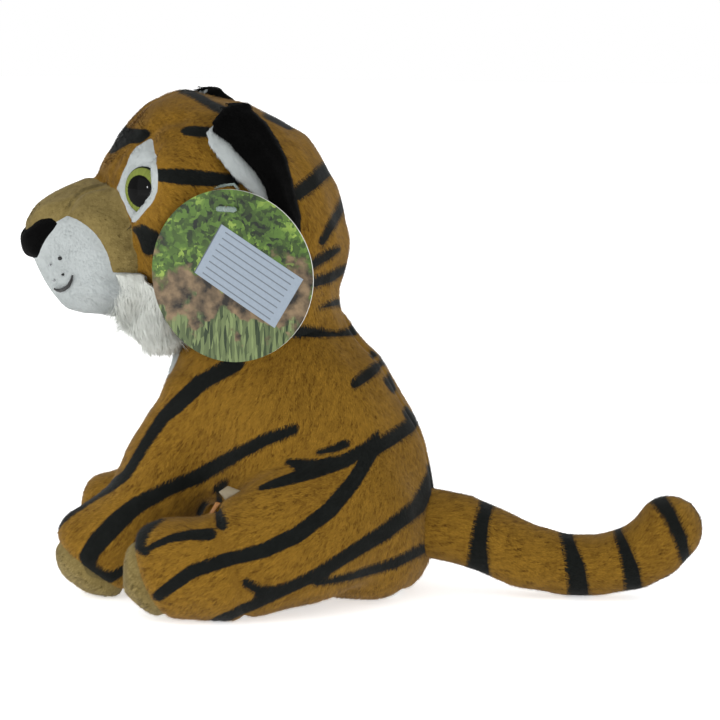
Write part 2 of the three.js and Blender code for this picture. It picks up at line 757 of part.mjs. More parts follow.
// Limbs: each is a stuffed skin with a sole, cut clear of the torso through its swing.
// Path rows: forward share of the limb's length, side share of the torso's width, height share of
// the torso's height, then thickness and width as shares of the limb's own.
const frontLegPathShares = [
  [0.054, 0.2, 0.83, 0.46, 0.40],
  [0.207, 0.21, 0.742, 0.53, 0.413],
  [0.337, 0.226, 0.621, 0.535, 0.438],
  [0.446, 0.236, 0.476, 0.52, 0.462],
  [0.576, 0.236, 0.323, 0.5, 0.462],
  [0.696, 0.236, 0.242, 0.495, 0.462],
  [0.799, 0.236, 0.168, 0.495, 0.462],
];
const hindLegPathShares = [
  [-0.568, 0.2, 0.35, 0.26, 0.30],
  [-0.432, 0.31, 0.355, 0.42, 0.42],
  [-0.28, 0.405, 0.335, 0.445, 0.49],
  [-0.144, 0.475, 0.285, 0.421, 0.49],
  [-0.025, 0.526, 0.232, 0.38, 0.47],
  [0.076, 0.56, 0.196, 0.326, 0.45],
  [0.17, 0.582, 0.186, 0.312, 0.43],
  [0.257, 0.582, 0.186, 0.312, 0.43],
];
const frontShoulderShares = [0.38, 0.774];
const hipShares = [-0.424, 0.323];
const frontSoleShares = [[0.6, -0.1], [0.6, 0.02], [0.66, 0.075], [1.02, 0.19], [1.3, 0.22], [1.3, -0.1]];
const hindSoleShares = [[0.27, -0.1], [0.29, 0.02], [0.36, 0.16], [0.42, 0.3], [0.7, 0.3], [0.7, -0.1]];
const limbSides = 12;

function limbPath(rows, length, thickness, width) {
  return roundEnded(rows.map(([ahead, aside, height, thick, wide]) => [
    new THREE.Vector3(neckX - ahead * length, -aside * torsoWidth, height * torsoHeight),
    thick * thickness,
    wide * width,
  ]));
}

function buildLimb({ name, path, pivotShares, length, range, soleShares, obstacle }) {
  const outer = loft(limbRings(path, limbSides));
  const pivot = new THREE.Vector3(neckX - pivotShares[0] * length, 0, pivotShares[1] * torsoHeight);
  const across = new THREE.Vector3(0, 1, 0);
  const reach = swept(torsoRoom, pivot, across, range)
    .add(swept(obstacle, pivot, across, range, labelSweepStep));
  const room = torsoLength + torsoWidth + length;
  const ground = block(-room, room, -room, room, -room, 0);
  const cleared = (geometry) => solidOf(geometry).subtract(reach).subtract(ground);
  const skin = cleared(outer).subtract(solidOf(grown(outer, -skinThickness)));
  const sole = soleShares.map(([x, z]) => [neckX - x * length, z * torsoHeight]);
  const pieces = [
    [`${name}_skin`, skin.subtract(prism(offsetOutline(sole, seamGap), -room, room)), goldPlush],
    [`${name}_sole`, skin.intersect(prism(sole, -room, room)), tanPlush],
    [`${name}_filling`, cleared(grown(outer, -skinThickness - seamGap)), filling],
  ];
  for (const [pieceName, shape, material] of pieces) {
    const near = geometryOf(largest(shape));
    addMesh(tiger, `${pieceName}_left`, solidOf(near), material);
    addMesh(tiger, `${pieceName}_right`, solidOf(mirrored(near)), material);
  }
}

// Care label: a small folded satin tab sewn into the crease above the left hind leg.
const labelLength = 11.5;
const labelHeight = 10;
const labelThickness = 1.2;
const labelPlaceShares = [-0.005, 0.452];
const labelClearance = 1.5;
const labelSweepStep = 2.5;

function labelZone(room) {
  const x = neckX + labelPlaceShares[0] * torsoLength;
  const z = labelPlaceShares[1] * torsoHeight;
  return block(
    x - labelLength / 2 - room, x + labelLength / 2 + room,
    -torsoWidth, 0,
    z - labelHeight / 2 - room, z + labelHeight / 2 + room,
  );
}

function buildLabel() {
  const outside = solidOf(grown(torsoOuter, seamGap + labelThickness));
  const inside = solidOf(grown(torsoOuter, seamGap));
  addMesh(tiger, 'care_label', largest(outside.subtract(inside).intersect(labelZone(0))), satin);
}

// Tail: one long stuffed tube that curls up at its end.
const tailPathShares = [
  [-0.15, 0.268, 0.47],
  [-0.016, 0.26, 0.50],
  [0.118, 0.24, 0.50],
  [0.22, 0.2, 0.465],
  [0.346, 0.148, 0.45],
  [0.488, 0.122, 0.43],
  [0.622, 0.124, 0.43],
  [0.732, 0.157, 0.455],
  [0.819, 0.213, 0.47],
  [0.866, 0.268, 0.47],
];
const tailRootShare = 0.642;
const tailPivotInset = 3;

function buildTail() {
  const rootX = neckX + tailRootShare * torsoLength;
  const path = roundEnded(tailPathShares.map(([back, height, thick]) => [
    new THREE.Vector3(rootX + back * tailLength, 0, height * tailLength),
    thick * tailThickness,
    thick * tailThickness,
  ]));
  const outer = loft(limbRings(path, limbSides));
  const pivot = new THREE.Vector3(rootX - tailPivotInset, 0, 0);
  const reach = swept(torsoRoom, pivot, new THREE.Vector3(0, 0, 1), tailRange);
  const clear = solidOf(outer).subtract(reach);
  addMesh(tiger, 'tail_skin', largest(clear.subtract(solidOf(grown(outer, -skinThickness)))), goldPlush);
  const stuffing = solidOf(grown(outer, -skinThickness - seamGap)).subtract(reach);
  addMesh(tiger, 'tail_filling', largest(stuffing), filling);
}

function buildLegs() {
  const labelRoom = solidOf(grown(torsoOuter, seamGap + labelThickness + labelClearance));
  const obstacle = geometryOf(labelRoom.intersect(labelZone(labelClearance)));
  buildLimb({
    name: 'front_leg',
    path: limbPath(frontLegPathShares, frontLegLength, frontLegThickness, frontLegWidth),
    pivotShares: frontShoulderShares,
    length: frontLegLength,
    range: frontLegRange,
    soleShares: frontSoleShares,
    obstacle,
  });
  buildLimb({
    name: 'hind_leg',
    path: limbPath(hindLegPathShares, hindLegLength, hindLegHeight, hindLegWidth),
    pivotShares: hipShares,
    length: hindLegLength,
    range: hindLegRange,
    soleShares: hindSoleShares,
    obstacle,
  });
}

buildTorso();
buildHead();
buildBeard();
buildEars();
buildTag();
buildLabel();
buildLegs();
buildTail();

export default tiger;
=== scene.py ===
import bpy
import math
import numpy as np
from mathutils import Matrix, Vector
from mathutils.bvhtree import BVHTree
from mathutils.kdtree import KDTree


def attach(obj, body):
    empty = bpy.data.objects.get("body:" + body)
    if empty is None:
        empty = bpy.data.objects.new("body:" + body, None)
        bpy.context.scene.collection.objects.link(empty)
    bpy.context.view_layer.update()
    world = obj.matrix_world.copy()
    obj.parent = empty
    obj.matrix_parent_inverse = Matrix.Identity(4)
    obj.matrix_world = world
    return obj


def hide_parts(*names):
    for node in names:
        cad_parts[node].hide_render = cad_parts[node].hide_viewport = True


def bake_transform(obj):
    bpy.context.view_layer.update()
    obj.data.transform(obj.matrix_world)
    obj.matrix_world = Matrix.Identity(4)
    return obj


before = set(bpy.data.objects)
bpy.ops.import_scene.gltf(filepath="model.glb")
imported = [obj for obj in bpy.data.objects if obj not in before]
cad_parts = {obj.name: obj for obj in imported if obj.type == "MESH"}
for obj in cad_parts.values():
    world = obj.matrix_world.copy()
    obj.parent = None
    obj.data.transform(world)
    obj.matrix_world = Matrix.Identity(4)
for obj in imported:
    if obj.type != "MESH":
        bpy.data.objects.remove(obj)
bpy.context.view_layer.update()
mm = 0.001

# Camera: a long lens 1.5 m away, a little above the tiger and a little behind its left shoulder.
# Places on the tiger that were read from the photograph go through the same sums.
photo_side = 720
pixels_per_mm = 2.14
camera_reach = 1500 * mm
camera_turn = math.radians(8)
camera_rise = math.radians(9.5)
aim_height = 110 * mm
sensor_width = 36

aim = np.array([0, 0, aim_height])
toward_camera = np.array([
    math.sin(camera_turn) * math.cos(camera_rise),
    -math.cos(camera_turn) * math.cos(camera_rise),
    math.sin(camera_rise),
])
camera_place = aim + toward_camera * camera_reach
picture_right = np.array([math.cos(camera_turn), math.sin(camera_turn), 0])
picture_up = np.cross(toward_camera, picture_right)
focal_pixels = pixels_per_mm * camera_reach / mm

camera_data = bpy.data.cameras.new("camera")
camera_data.sensor_width = sensor_width
camera_data.lens = focal_pixels * sensor_width / photo_side
camera = bpy.data.objects.new("camera", camera_data)
axes = Matrix(np.array([picture_right, picture_up, toward_camera]).T.tolist())
camera.matrix_world = Matrix.Translation(Vector(camera_place)) @ axes.to_4x4()
bpy.context.scene.collection.objects.link(camera)
bpy.context.scene.camera = camera


def picture_place(points):
    """Where points at rest lie in the photograph, in pixels from its top left."""
    reach = points - camera_place
    depth = -(reach @ toward_camera)
    across = photo_side / 2 + focal_pixels * (reach @ picture_right) / depth
    down = photo_side / 2 - focal_pixels * (reach @ picture_up) / depth
    return np.stack([across, down], axis=1)


def place_on_plane(across, down, point, normal):
    """The point of a plane that a pixel of the photograph shows."""
    sight = -toward_camera + picture_right * (across - photo_side / 2) / focal_pixels
    sight = sight - picture_up * (down - photo_side / 2) / focal_pixels
    reach = np.dot(point - camera_place, normal) / np.dot(sight, normal)
    return camera_place + sight * reach


# Body: two gold plush side panels that run on into the legs, with woven-in black stripes, and a white
# chest and belly panel. It is sewn inside out and stuffed, so each seam lies in a shallow valley.

# Each limb's middle line from the body outwards: forward, aside and up, then half its depth and width.
front_leg_line = [
    (-50, 23.2, 102.9, 19.8, 16), (-64, 24.4, 92, 22.8, 16.5), (-76, 26.2, 77, 23, 17.5),
    (-86, 27.4, 59, 22.4, 18.5), (-98, 27.4, 40.1, 21.5, 18.5), (-109, 27.4, 30, 21.3, 18.5),
    (-118.5, 27.4, 21.3, 21.3, 18.5),
]
hind_leg_line = [
    (22, 23.2, 43.4, 19.8, 14.7), (6, 36, 44, 31.9, 20.6), (-12, 47, 41.5, 33.8, 24),
    (-28, 55.1, 35.3, 32, 24), (-42.1, 61, 28.8, 28.9, 23), (-54, 65, 24.3, 24.8, 22.1),
    (-65.1, 67.5, 23.5, 23.7, 21.1), (-75.3, 67.5, 23.5, 23.7, 21.1),
]
limb_sides = 24
limb_end_steps = 6
limb_end_share = 0.96


def arrays_of(mesh):
    """A mesh's points and triangles."""
    points = np.empty(len(mesh.vertices) * 3)
    mesh.vertices.foreach_get("co", points)
    mesh.calc_loop_triangles()
    faces = np.empty(len(mesh.loop_triangles) * 3, int)
    mesh.loop_triangles.foreach_get("vertices", faces)
    return points.reshape(-1, 3), faces.reshape(-1, 3)


def walls(rows, sides):
    """The faces between rings of points that follow each other, each ring with so many sides."""
    pairs = [(row * sides + i, row * sides + (i + 1) % sides) for row in range(rows) for i in range(sides)]
    return [(a, b, b + sides, a + sides) for a, b in pairs]


def limb_shape(line, side):
    """A closed tube round a limb's middle line, with a round end."""
    middle = np.array(line) * mm * (1, side, 1, 1, 1)
    along = unit(np.gradient(middle[:, :3], axis=0))
    rings = list(zip(middle[:, :3], along, middle[:, 3], middle[:, 4]))
    place, way, depth, width = rings[-1]
    for step in range(1, limb_end_steps + 1):
        turn = math.pi / 2 * min(step / limb_end_steps, limb_end_share)
        end = place + way * depth * math.sin(turn)
        rings.append((end, way, depth * math.cos(turn), width * math.cos(turn)))
    angle = np.arange(limb_sides) / limb_sides * 2 * math.pi
    points = []
    for place, way, depth, width in rings:
        across = unit(np.array([0, 1, 0]) - way[1] * way)
        upward = np.cross(across, way)
        ring = np.outer(np.cos(angle) * depth, upward) + np.outer(np.sin(angle) * width, across)
        points.append(place + ring)
    points = np.concatenate(points + [rings[0][0][None], rings[-1][0][None]])
    faces = [half for a, b, c, d in walls(len(rings) - 1, limb_sides) for half in ((a, b, d), (b, c, d))]
    last = (len(rings) - 1) * limb_sides
    for i in range(limb_sides):
        following = (i + 1) % limb_sides
        faces += [(following, i, len(points) - 2), (last + i, last + following, len(points) - 1)]
    return points, np.array(faces)


def node_shape(node):
    return arrays_of(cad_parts[node].data)


form_cell = 2.2 * mm
form_rounds = 10
draw_in = 0.6
let_out = -0.61


def stuffed_form(shapes, cell=form_cell, rounds=form_rounds):
    """The smooth closed surface that fabric takes when it is filled out to these solids."""
    first = np.cumsum([0] + [len(points) for points, faces in shapes])
    mesh = bpy.data.meshes.new("form")
    mesh.from_pydata(
        np.concatenate([points for points, faces in shapes]), [],
        np.concatenate([faces + start for (points, faces), start in zip(shapes, first)]).tolist(),
    )
    body = bpy.data.objects.new("form", mesh)
    bpy.context.scene.collection.objects.link(body)
    remesh = body.modifiers.new("cells", "REMESH")
    remesh.mode = "VOXEL"
    remesh.voxel_size = cell
    ready = body.evaluated_get(bpy.context.evaluated_depsgraph_get())
    points, faces = arrays_of(ready.to_mesh())
    ready.to_mesh_clear()
    bpy.data.objects.remove(body)
    bpy.data.meshes.remove(mesh)
    points, faces = outermost(points, faces)
    return drawn_together(points, faces, [draw_in, let_out] * rounds), faces


def outermost(points, faces):
    """The one closed surface that reaches furthest, without any that lies inside it."""
    group = np.arange(len(points))
    while True:
        lowest = group[faces].min(axis=1)
        spread = group.copy()
        for i in range(3):
            np.minimum.at(spread, faces[:, i], lowest)
        spread = spread[spread]
        if (spread == group).all():
            break
        group = spread
    kept = group[faces[:, 0]] == group[points[:, 0].argmax()]
    return part_of(points, faces, {}, kept)[:2]


def drawn_together(points, faces, strengths):
    """The points drawn towards the middle of their neighbours, once for each of these strengths."""
    a = faces.T.reshape(-1)
    b = np.roll(faces.T, -1, axis=0).reshape(-1)
    count = np.bincount(a, minlength=len(points))[:, None]
    points = points.copy()
    for strength in strengths:
        near = np.stack([np.bincount(a, points[b, k], len(points)) for k in range(3)], axis=1)
        points += strength * (near / count - points)
    return points


def filled_out(points, faces, spots, places):
    """The points let out where the stuffing swells: (across, down, reach) in pixels, then a rise in mm."""
    rise = np.zeros(len(points))
    for across, down, reach, height in spots:
        gap = np.linalg.norm(places - (across, down), axis=1)
        rise += height * mm * np.exp(-(gap / reach) ** 2)
    return points + outward(points, faces) * rise[:, None]


def reach_of(points, shapes):
    """How far each point is from the nearest of these surfaces."""
    nearest = np.full(len(points), np.inf)
    for corners, faces in shapes:
        tree = BVHTree.FromPolygons(corners.tolist(), faces.tolist())
        nearest = np.minimum(nearest, [tree.find_nearest(Vector(point))[3] for point in points])
    return nearest


def ramp(values, start, end):
    """From 0 to 1 between two limits, with soft ends."""
    share = np.clip((values - start) / (end - start), 0, 1)
    return share * share * (3 - 2 * share)


def unit(vectors):
    return vectors / np.maximum(np.linalg.norm(vectors, axis=-1, keepdims=True), 1e-12)


def face_ways(points, faces):
    """Each face's normal, as long as twice its area."""
    corner = points[faces]
    return np.cross(corner[:, 1] - corner[:, 0], corner[:, 2] - corner[:, 0])


def outward(points, faces):
    """The normal at each point."""
    way = face_ways(points, faces)
    return unit(np.stack([
        sum(np.bincount(faces[:, i], way[:, k], len(points)) for i in range(3)) for k in range(3)
    ], axis=1))


def cut_along(points, faces, marks, field):
    """The faces cut where a field of the points changes sign, so that a seam runs along it."""
    value = np.where(np.abs(field) < 1e-9, 1e-9, field)
    above = value > 0
    count = above[faces].sum(axis=1)
    mixed = (count == 1) | (count == 2)
    lone = np.where(count == 1, above[faces].argmax(axis=1), (~above[faces]).argmax(axis=1))
    rows = np.nonzero(mixed)[0]
    turn = (lone[rows, None] + np.arange(3)) % 3
    a, b, c = faces[rows[:, None], turn].T
    pairs = np.sort(np.concatenate([np.stack([a, b], 1), np.stack([a, c], 1)]), axis=1)
    edges, place = np.unique(pairs, axis=0, return_inverse=True)
    place = place.reshape(-1)
    share = value[edges[:, 0]] / (value[edges[:, 0]] - value[edges[:, 1]])

    def between(values):
        weight = share.reshape((-1,) + (1,) * (values.ndim - 1))
        return values[edges[:, 0]] * (1 - weight) + values[edges[:, 1]] * weight

    fresh = {name: np.concatenate([values, between(values)]) for name, values in marks.items()}
    ab = len(points) + place[:len(rows)]
    ac = len(points) + place[len(rows):]
    pieces = [np.stack(corner, axis=1) for corner in ((a, ab, ac), (ab, b, c), (ab, c, ac))]
    grown = np.concatenate([points, between(points)])
    return grown, np.concatenate([faces[~mixed]] + pieces), fresh


def outline_field(flat, outline):
    """Distance from a closed outline in a plane: positive inside it."""
    corners = np.array(outline)
    following = np.roll(corners, -1, axis=0)
    inside = np.zeros(len(flat), bool)
    nearest = np.full(len(flat), np.inf)
    for (x0, y0), (x1, y1) in zip(corners, following):
        along = np.array([x1 - x0, y1 - y0])
        share = np.clip(((flat - (x0, y0)) @ along) / (along @ along), 0, 1)
        nearest = np.minimum(nearest, np.linalg.norm(flat - (x0, y0) - share[:, None] * along, axis=1))
        crosses = (flat[:, 1] < y0) != (flat[:, 1] < y1)
        if y1 != y0:
            inside ^= crosses & (flat[:, 0] < x0 + (flat[:, 1] - y0) / (y1 - y0) * (x1 - x0))
    return np.where(inside, nearest, -nearest)


def field_in_picture(places, outline):
    """Distance inside an outline of the photograph, as a length on the tiger."""
    return outline_field(places, outline) / pixels_per_mm * mm


def stripe_field(flat, stripes):
    """Distance in millimetres outside the stripes, each a run of (across, down, width) in pixels."""
    nearest = np.full(len(flat), 99.0)
    for stripe in stripes:
        for (x0, y0, w0), (x1, y1, w1) in zip(stripe, stripe[1:]):
            along = np.array([x1 - x0, y1 - y0])
            share = np.clip(((flat - (x0, y0)) @ along) / (along @ along), 0, 1)
            gap = np.linalg.norm(flat - (x0, y0) - share[:, None] * along, axis=1)
            nearest = np.minimum(nearest, (gap - (w0 + (w1 - w0) * share) / 2) / pixels_per_mm)
    return nearest


def waves(points, length, seed):
    """Gentle unevenness from -1 to 1 whose hills lie about a length apart."""
    dice = np.random.default_rng(seed)
    ways = unit(dice.normal(size=(7, 3))) * 2 * math.pi / length * dice.uniform(0.7, 1.3, (7, 1))
    return np.sin(points @ ways.T + dice.uniform(0, 2 * math.pi, 7)).sum(axis=1) / 3.5


pile_depth = 0.2 * mm


def uneven(points, faces, height, length, seed, depth=pile_depth):
    """A form's points sunk by the depth of its pile, with the gentle hills that stuffing makes."""
    rise = height * waves(points, length, seed) - depth
    return points + outward(points, faces) * rise[:, None]


seam_depth = 1.9 * mm
seam_reach = 2.6 * mm


def sewn(points, faces, labels, depth=seam_depth):
    """The points near a seam between two labels drawn in, as a seam draws in stuffed fabric."""
    lowest = np.full(len(points), 99)
    highest = np.full(len(points), -1)
    for i in range(3):
        np.minimum.at(lowest, faces[:, i], labels)
        np.maximum.at(highest, faces[:, i], labels)
    on_seam = np.nonzero(highest > lowest)[0]
    gap = distance_to(points, points[on_seam])
    valley = depth * np.exp(-(gap / seam_reach) ** 2)
    return points - outward(points, faces) * valley[:, None], gap


def distance_to(points, others):
    """How far each point is from the nearest of the others."""
    tree = KDTree(len(others))
    for i, other in enumerate(others):
        tree.insert(other, i)
    tree.balance()
    return np.array([tree.find(point)[2] for point in points])


def part_of(points, faces, marks, chosen):
    """The chosen faces with only their own points."""
    used, index = np.unique(faces[chosen], return_inverse=True)
    return points[used], index.reshape(-1, 3), {name: values[used] for name, values in marks.items()}


def give_mark(mesh, name, values):
    """One number or three at each of a mesh's points, for its material to read."""
    kind, key = ("FLOAT", "value") if values.ndim == 1 else ("FLOAT_VECTOR", "vector")
    mark = mesh.attributes.new(name, kind, "POINT")
    mark.data.foreach_set(key, values.astype(np.float32).ravel())


pile_gap = 0.55 * mm
pile_width = 0.36 * mm
tuft_size = 1.0 * mm
tuft_pull = 0.1
tuft_stretch = 0.78
root_sunk = 0.3 * mm
blade_shares = (0.75, 1.15)
swirl_turn = 0.25
swirl_reach = 26 * mm
stray_turn = 0.16
blade_rise = 0.3
rise_turn = 0.1
rise_reach = 9 * mm
stray_rise = 0.08
facing_lean = 0.2
stray_facing = 0.09
blade_shade_share = 0.7


def plush_piece(name, points, faces, marks, lay, material, length, seed, gap=pile_gap,
                width=pile_width, tuft=tuft_size, pull=tuft_pull, normals=None):
    """Backing cloth with its pile: one tapered blade for each hair tuft, lying the way it was combed."""
    dice = np.random.default_rng(seed)
    normals = outward(points, faces) if normals is None else normals
    total = np.cumsum(np.linalg.norm(face_ways(points, faces), axis=1) / 2)
    count = int(total[-1] / gap ** 2)
    picks = np.searchsorted(total, (np.arange(count) + dice.uniform(0, 1, count)) / count * total[-1])
    picks = np.minimum(picks, len(faces) - 1)
    weights = np.sort(dice.uniform(0, 1, (count, 2)), axis=1)
    weights = np.stack([weights[:, 0], weights[:, 1] - weights[:, 0], 1 - weights[:, 1]], axis=1)

    def at_root(values):
        return (values[faces[picks]] * weights.reshape((count, 3) + (1,) * (values.ndim - 1))).sum(axis=1)

    root = at_root(points)
    up = unit(at_root(normals))
    way = at_root(lay)
    way = unit(way - (way * up).sum(axis=1, keepdims=True) * up)
    side = np.cross(up, way)
    swirl = swirl_turn * waves(root, swirl_reach, seed + 1) + dice.normal(0, stray_turn, count)
    way = way * np.cos(swirl)[:, None] + side * np.sin(swirl)[:, None]
    rise = blade_rise + rise_turn * waves(root, rise_reach, seed + 2) + dice.normal(0, stray_rise, count)
    long = length * dice.uniform(*blade_shares, count) * at_root(marks.get("long", np.ones(len(points))))
    tip = root + (way * np.cos(rise)[:, None] + up * np.sin(rise)[:, None]) * long[:, None]
    main = unit(way.mean(axis=0))
    drawn_out = root - np.outer(root @ main, main) * tuft_stretch
    cell = np.floor(drawn_out / tuft + dice.uniform(0, 1, 3)).astype(int)
    tufts, member = np.unique(cell, axis=0, return_inverse=True)
    member = member.reshape(-1)
    size = np.bincount(member)
    middle = np.stack([np.bincount(member, root[:, k]) / size for k in range(3)], axis=1)[member]
    inward = middle - root
    inward -= (inward * up).sum(axis=1, keepdims=True) * up
    tip += pull * inward
    half = unit(np.cross(tip - root, up)) * width / 2
    root = root - up * root_sunk
    blades = np.stack([root - half, root + half, tip], axis=1).reshape(-1, 3)
    first = len(points)
    mesh = bpy.data.meshes.new(name)
    all_points = np.concatenate([points, blades])
    all_faces = np.concatenate([faces, first + np.arange(count * 3).reshape(-1, 3)])
    mesh.vertices.add(len(all_points))
    mesh.vertices.foreach_set("co", all_points.astype(np.float32).ravel())
    mesh.loops.add(len(all_faces) * 3)
    mesh.loops.foreach_set("vertex_index", all_faces.astype(np.int32).ravel())
    mesh.polygons.add(len(all_faces))
    mesh.polygons.foreach_set("loop_start", (np.arange(len(all_faces)) * 3).astype(np.int32))
    mesh.polygons.foreach_set("use_smooth", np.ones(len(all_faces), bool))
    mesh.update()
    shade = blade_shade_share * dice.normal(0, 1, count) + dice.normal(0, 1, len(tufts))[member]
    values = {
        "tip": np.concatenate([np.zeros(first), np.tile([0.0, 0.0, 1.0], count)]),
        "shade": np.concatenate([np.zeros(first), np.repeat(shade, 3)]),
    }
    for key, mark in marks.items():
        if key != "long":
            values[key] = np.concatenate([mark, np.repeat(at_root(mark), 3)])
    for key, value in values.items():
        give_mark(mesh, key, value)
    tilt = unit(up + facing_lean * way + dice.normal(0, stray_facing, (count, 3)))
    facing = np.concatenate([normals, np.repeat(tilt, 3, axis=0)])
    mesh.normals_split_custom_set_from_vertices(facing.astype(np.float32))
    mesh.uv_layers.new(name="OFBake").uv.foreach_set("vector", bake_map(len(faces), picks, weights))
    mesh.materials.append(material)
    piece = bpy.data.objects.new(name, mesh)
    bpy.context.scene.collection.objects.link(piece)
    return piece


def bake_map(face_count, picks, weights):
    """Two faces share a cell of a square grid, and each blade sits on its root's place in its face."""
    side = math.ceil(math.sqrt(face_count / 2))
    index = np.arange(face_count)
    column, row, upper = (index // 2) % side, index // 2 // side, index % 2
    low, high, near, far = 0.06, 0.86, 0.14, 0.94
    first = np.array([[low, low], [high, low], [low, high]])
    second = np.array([[far, far], [near, far], [far, near]])
    corners = np.where(upper[:, None, None] == 0, first, second)
    corners = (corners + np.stack([column, row], axis=1)[:, None]) / side
    roots = (corners[picks] * weights[:, :, None]).sum(axis=1)
    return np.concatenate([corners.reshape(-1, 2), np.repeat(roots, 3, axis=0)]).astype(np.float32).ravel()


def dye(colour):
    """A colour mixed on a screen, as light."""
    share = np.array(colour) / 255
    light = np.where(share <= 0.04045, share / 12.92, ((share + 0.055) / 1.055) ** 2.4)
    return (*[float(value) for value in light], 1)


def joined(tree, kind, inputs, **settings):
    """A new node of a tree, with its inputs linked to sockets or set to values."""
    node = tree.nodes.new(kind)
    for key, value in settings.items():
        setattr(node, key, value)
    for key, value in inputs.items():
        if isinstance(value, bpy.types.NodeSocket):
            tree.links.new(value, node.inputs[key])
        else:
            node.inputs[key].default_value = value
    return node


def sum_of(tree, operation, first, second):
    """The result of one sum with two values."""
    return joined(tree, "ShaderNodeMath", {0: first, 1: second}, operation=operation).outputs[0]


def mixed(tree, share, first, second):
    """A colour between two others."""
    return joined(tree, "ShaderNodeMix", {0: share, 6: first, 7: second}, data_type="RGBA").outputs[2]


def graded(tree, value, start, end, low=0.0, high=1.0):
    """A value spread between two limits: low where it is at the start and high at the end."""
    given = {"Value": value, "From Min": start, "From Max": end, "To Min": low, "To Max": high}
    return joined(tree, "ShaderNodeMapRange", given).outputs["Result"]


def noise(tree, place, scale, detail):
    given = {"Vector": place, "Scale": scale, "Detail": detail}
    return joined(tree, "ShaderNodeTexNoise", given).outputs["Fac"]


def mark_of(tree, name, output="Fac"):
    return joined(tree, "ShaderNodeAttribute", {}, attribute_name=name).outputs[output]


def object_place(tree):
    return tree.nodes.new("ShaderNodeTexCoord").outputs["Object"]


def bumped(tree, shader, height, distance, strength=1.0):
    """A shader's normal stirred by the height of a fine relief."""
    bump = joined(tree, "ShaderNodeBump", {"Height": height, "Strength": strength, "Distance": distance})
    tree.links.new(bump.outputs["Normal"], shader.inputs["Normal"])


def new_material(name, values):
    """A material with its node tree and its shader, whose sockets take these values."""
    material = bpy.data.materials.new(name)
    material.use_nodes = True
    shader = material.node_tree.nodes["Principled BSDF"]
    for key, value in values.items():
        shader.inputs[key].default_value = value
    return material, material.node_tree, shader


def new_group(name, given, made):
    """A node group with its named inputs and outputs, each a colour or a plain value."""
    tree = bpy.data.node_groups.new(name, "ShaderNodeTree")
    for sockets, in_out in ((given, "INPUT"), (made, "OUTPUT")):
        for socket, kind in sockets.items():
            tree.interface.new_socket(name=socket, in_out=in_out, socket_type="NodeSocket" + kind)
    return tree, tree.nodes.new("NodeGroupInput").outputs, tree.nodes.new("NodeGroupOutput").inputs


root_height = 0.5
tip_height = 0.3
tuft_height = 0.34
mottle_scales = (38.0, 420.0)
mottle_heights = (1.1, 0.9)
stripe_edge = (-0.25, 0.35)
ragged_edge = 0.5


def pile_group():
    """Plush pile: painted shade makes it darker at the root and where its fine relief dips; lighter at the
    tip, each tuft a little different, mottled at random, with its stripes.
    """
    tree, given, made = new_group("Plush pile", {
        "Tip colour": "Color", "Shaded root colour": "Color", "Stripe colour": "Color", "Striped": "Float",
        "Unevenness": "Float",
    }, {"Colour": "Color", "Bump height": "Float"})
    place = object_place(tree)
    broad = noise(tree, place, mottle_scales[0], 2.0)
    fine = noise(tree, place, mottle_scales[1], 3.0)
    height = sum_of(tree, "ADD", sum_of(tree, "MULTIPLY", mark_of(tree, "tip"), tip_height), root_height)
    height = sum_of(tree, "ADD", height, sum_of(tree, "MULTIPLY", mark_of(tree, "shade"), tuft_height))
    broad_part, fine_part = [
        sum_of(tree, "MULTIPLY", sum_of(tree, "SUBTRACT", mottle, 0.5), share)
        for mottle, share in zip((broad, fine), mottle_heights)
    ]
    uneven = sum_of(tree, "MULTIPLY", sum_of(tree, "ADD", broad_part, fine_part), given["Unevenness"])
    height = sum_of(tree, "ADD", height, uneven)
    ground = mixed(tree, height, given["Shaded root colour"], given["Tip colour"])
    edge = sum_of(tree, "ADD", mark_of(tree, "stripe"), sum_of(tree, "MULTIPLY", fine_part, ragged_edge))
    inside = sum_of(tree, "MULTIPLY", graded(tree, edge, *stripe_edge, 1.0, 0.0), given["Striped"])
    tree.links.new(mixed(tree, inside, ground, given["Stripe colour"]), made["Colour"])
    tree.links.new(fine, made["Bump height"])
    return tree


plush_pile = pile_group()


stripe_black = (15, 18, 16)


# The root colour is painted shade deep in the pile.
def plush_material(name, tip, root, striped=0.0, unevenness=0.35, sheen=0.06, gloss=0.1):
    material, tree, shader = new_material(name, {
        "Roughness": 0.8, "Specular IOR Level": gloss, "Sheen Weight": sheen, "Sheen Roughness": 0.5,
    })
    pile = joined(tree, "ShaderNodeGroup", {
        "Tip colour": dye(tip), "Shaded root colour": dye(root), "Stripe colour": dye(stripe_black),
        "Striped": striped, "Unevenness": unevenness,
    }, node_tree=plush_pile).outputs
    tree.links.new(pile["Colour"], shader.inputs["Base Color"])
    bumped(tree, shader, pile["Bump height"], 0.6 * mm, 0.25)
    return material


# Tip and root colours of each pile; the darker root colour is painted shade deep in the pile.
gold = (146, 109, 34)
gold_root_shade = (83, 55, 7)
white_pile = (172, 177, 176)
white_root_shade = (156, 162, 162)
gold_plush = plush_material("gold plush", gold, gold_root_shade, striped=1.0)
white_plush = plush_material("white plush", white_pile, white_root_shade)

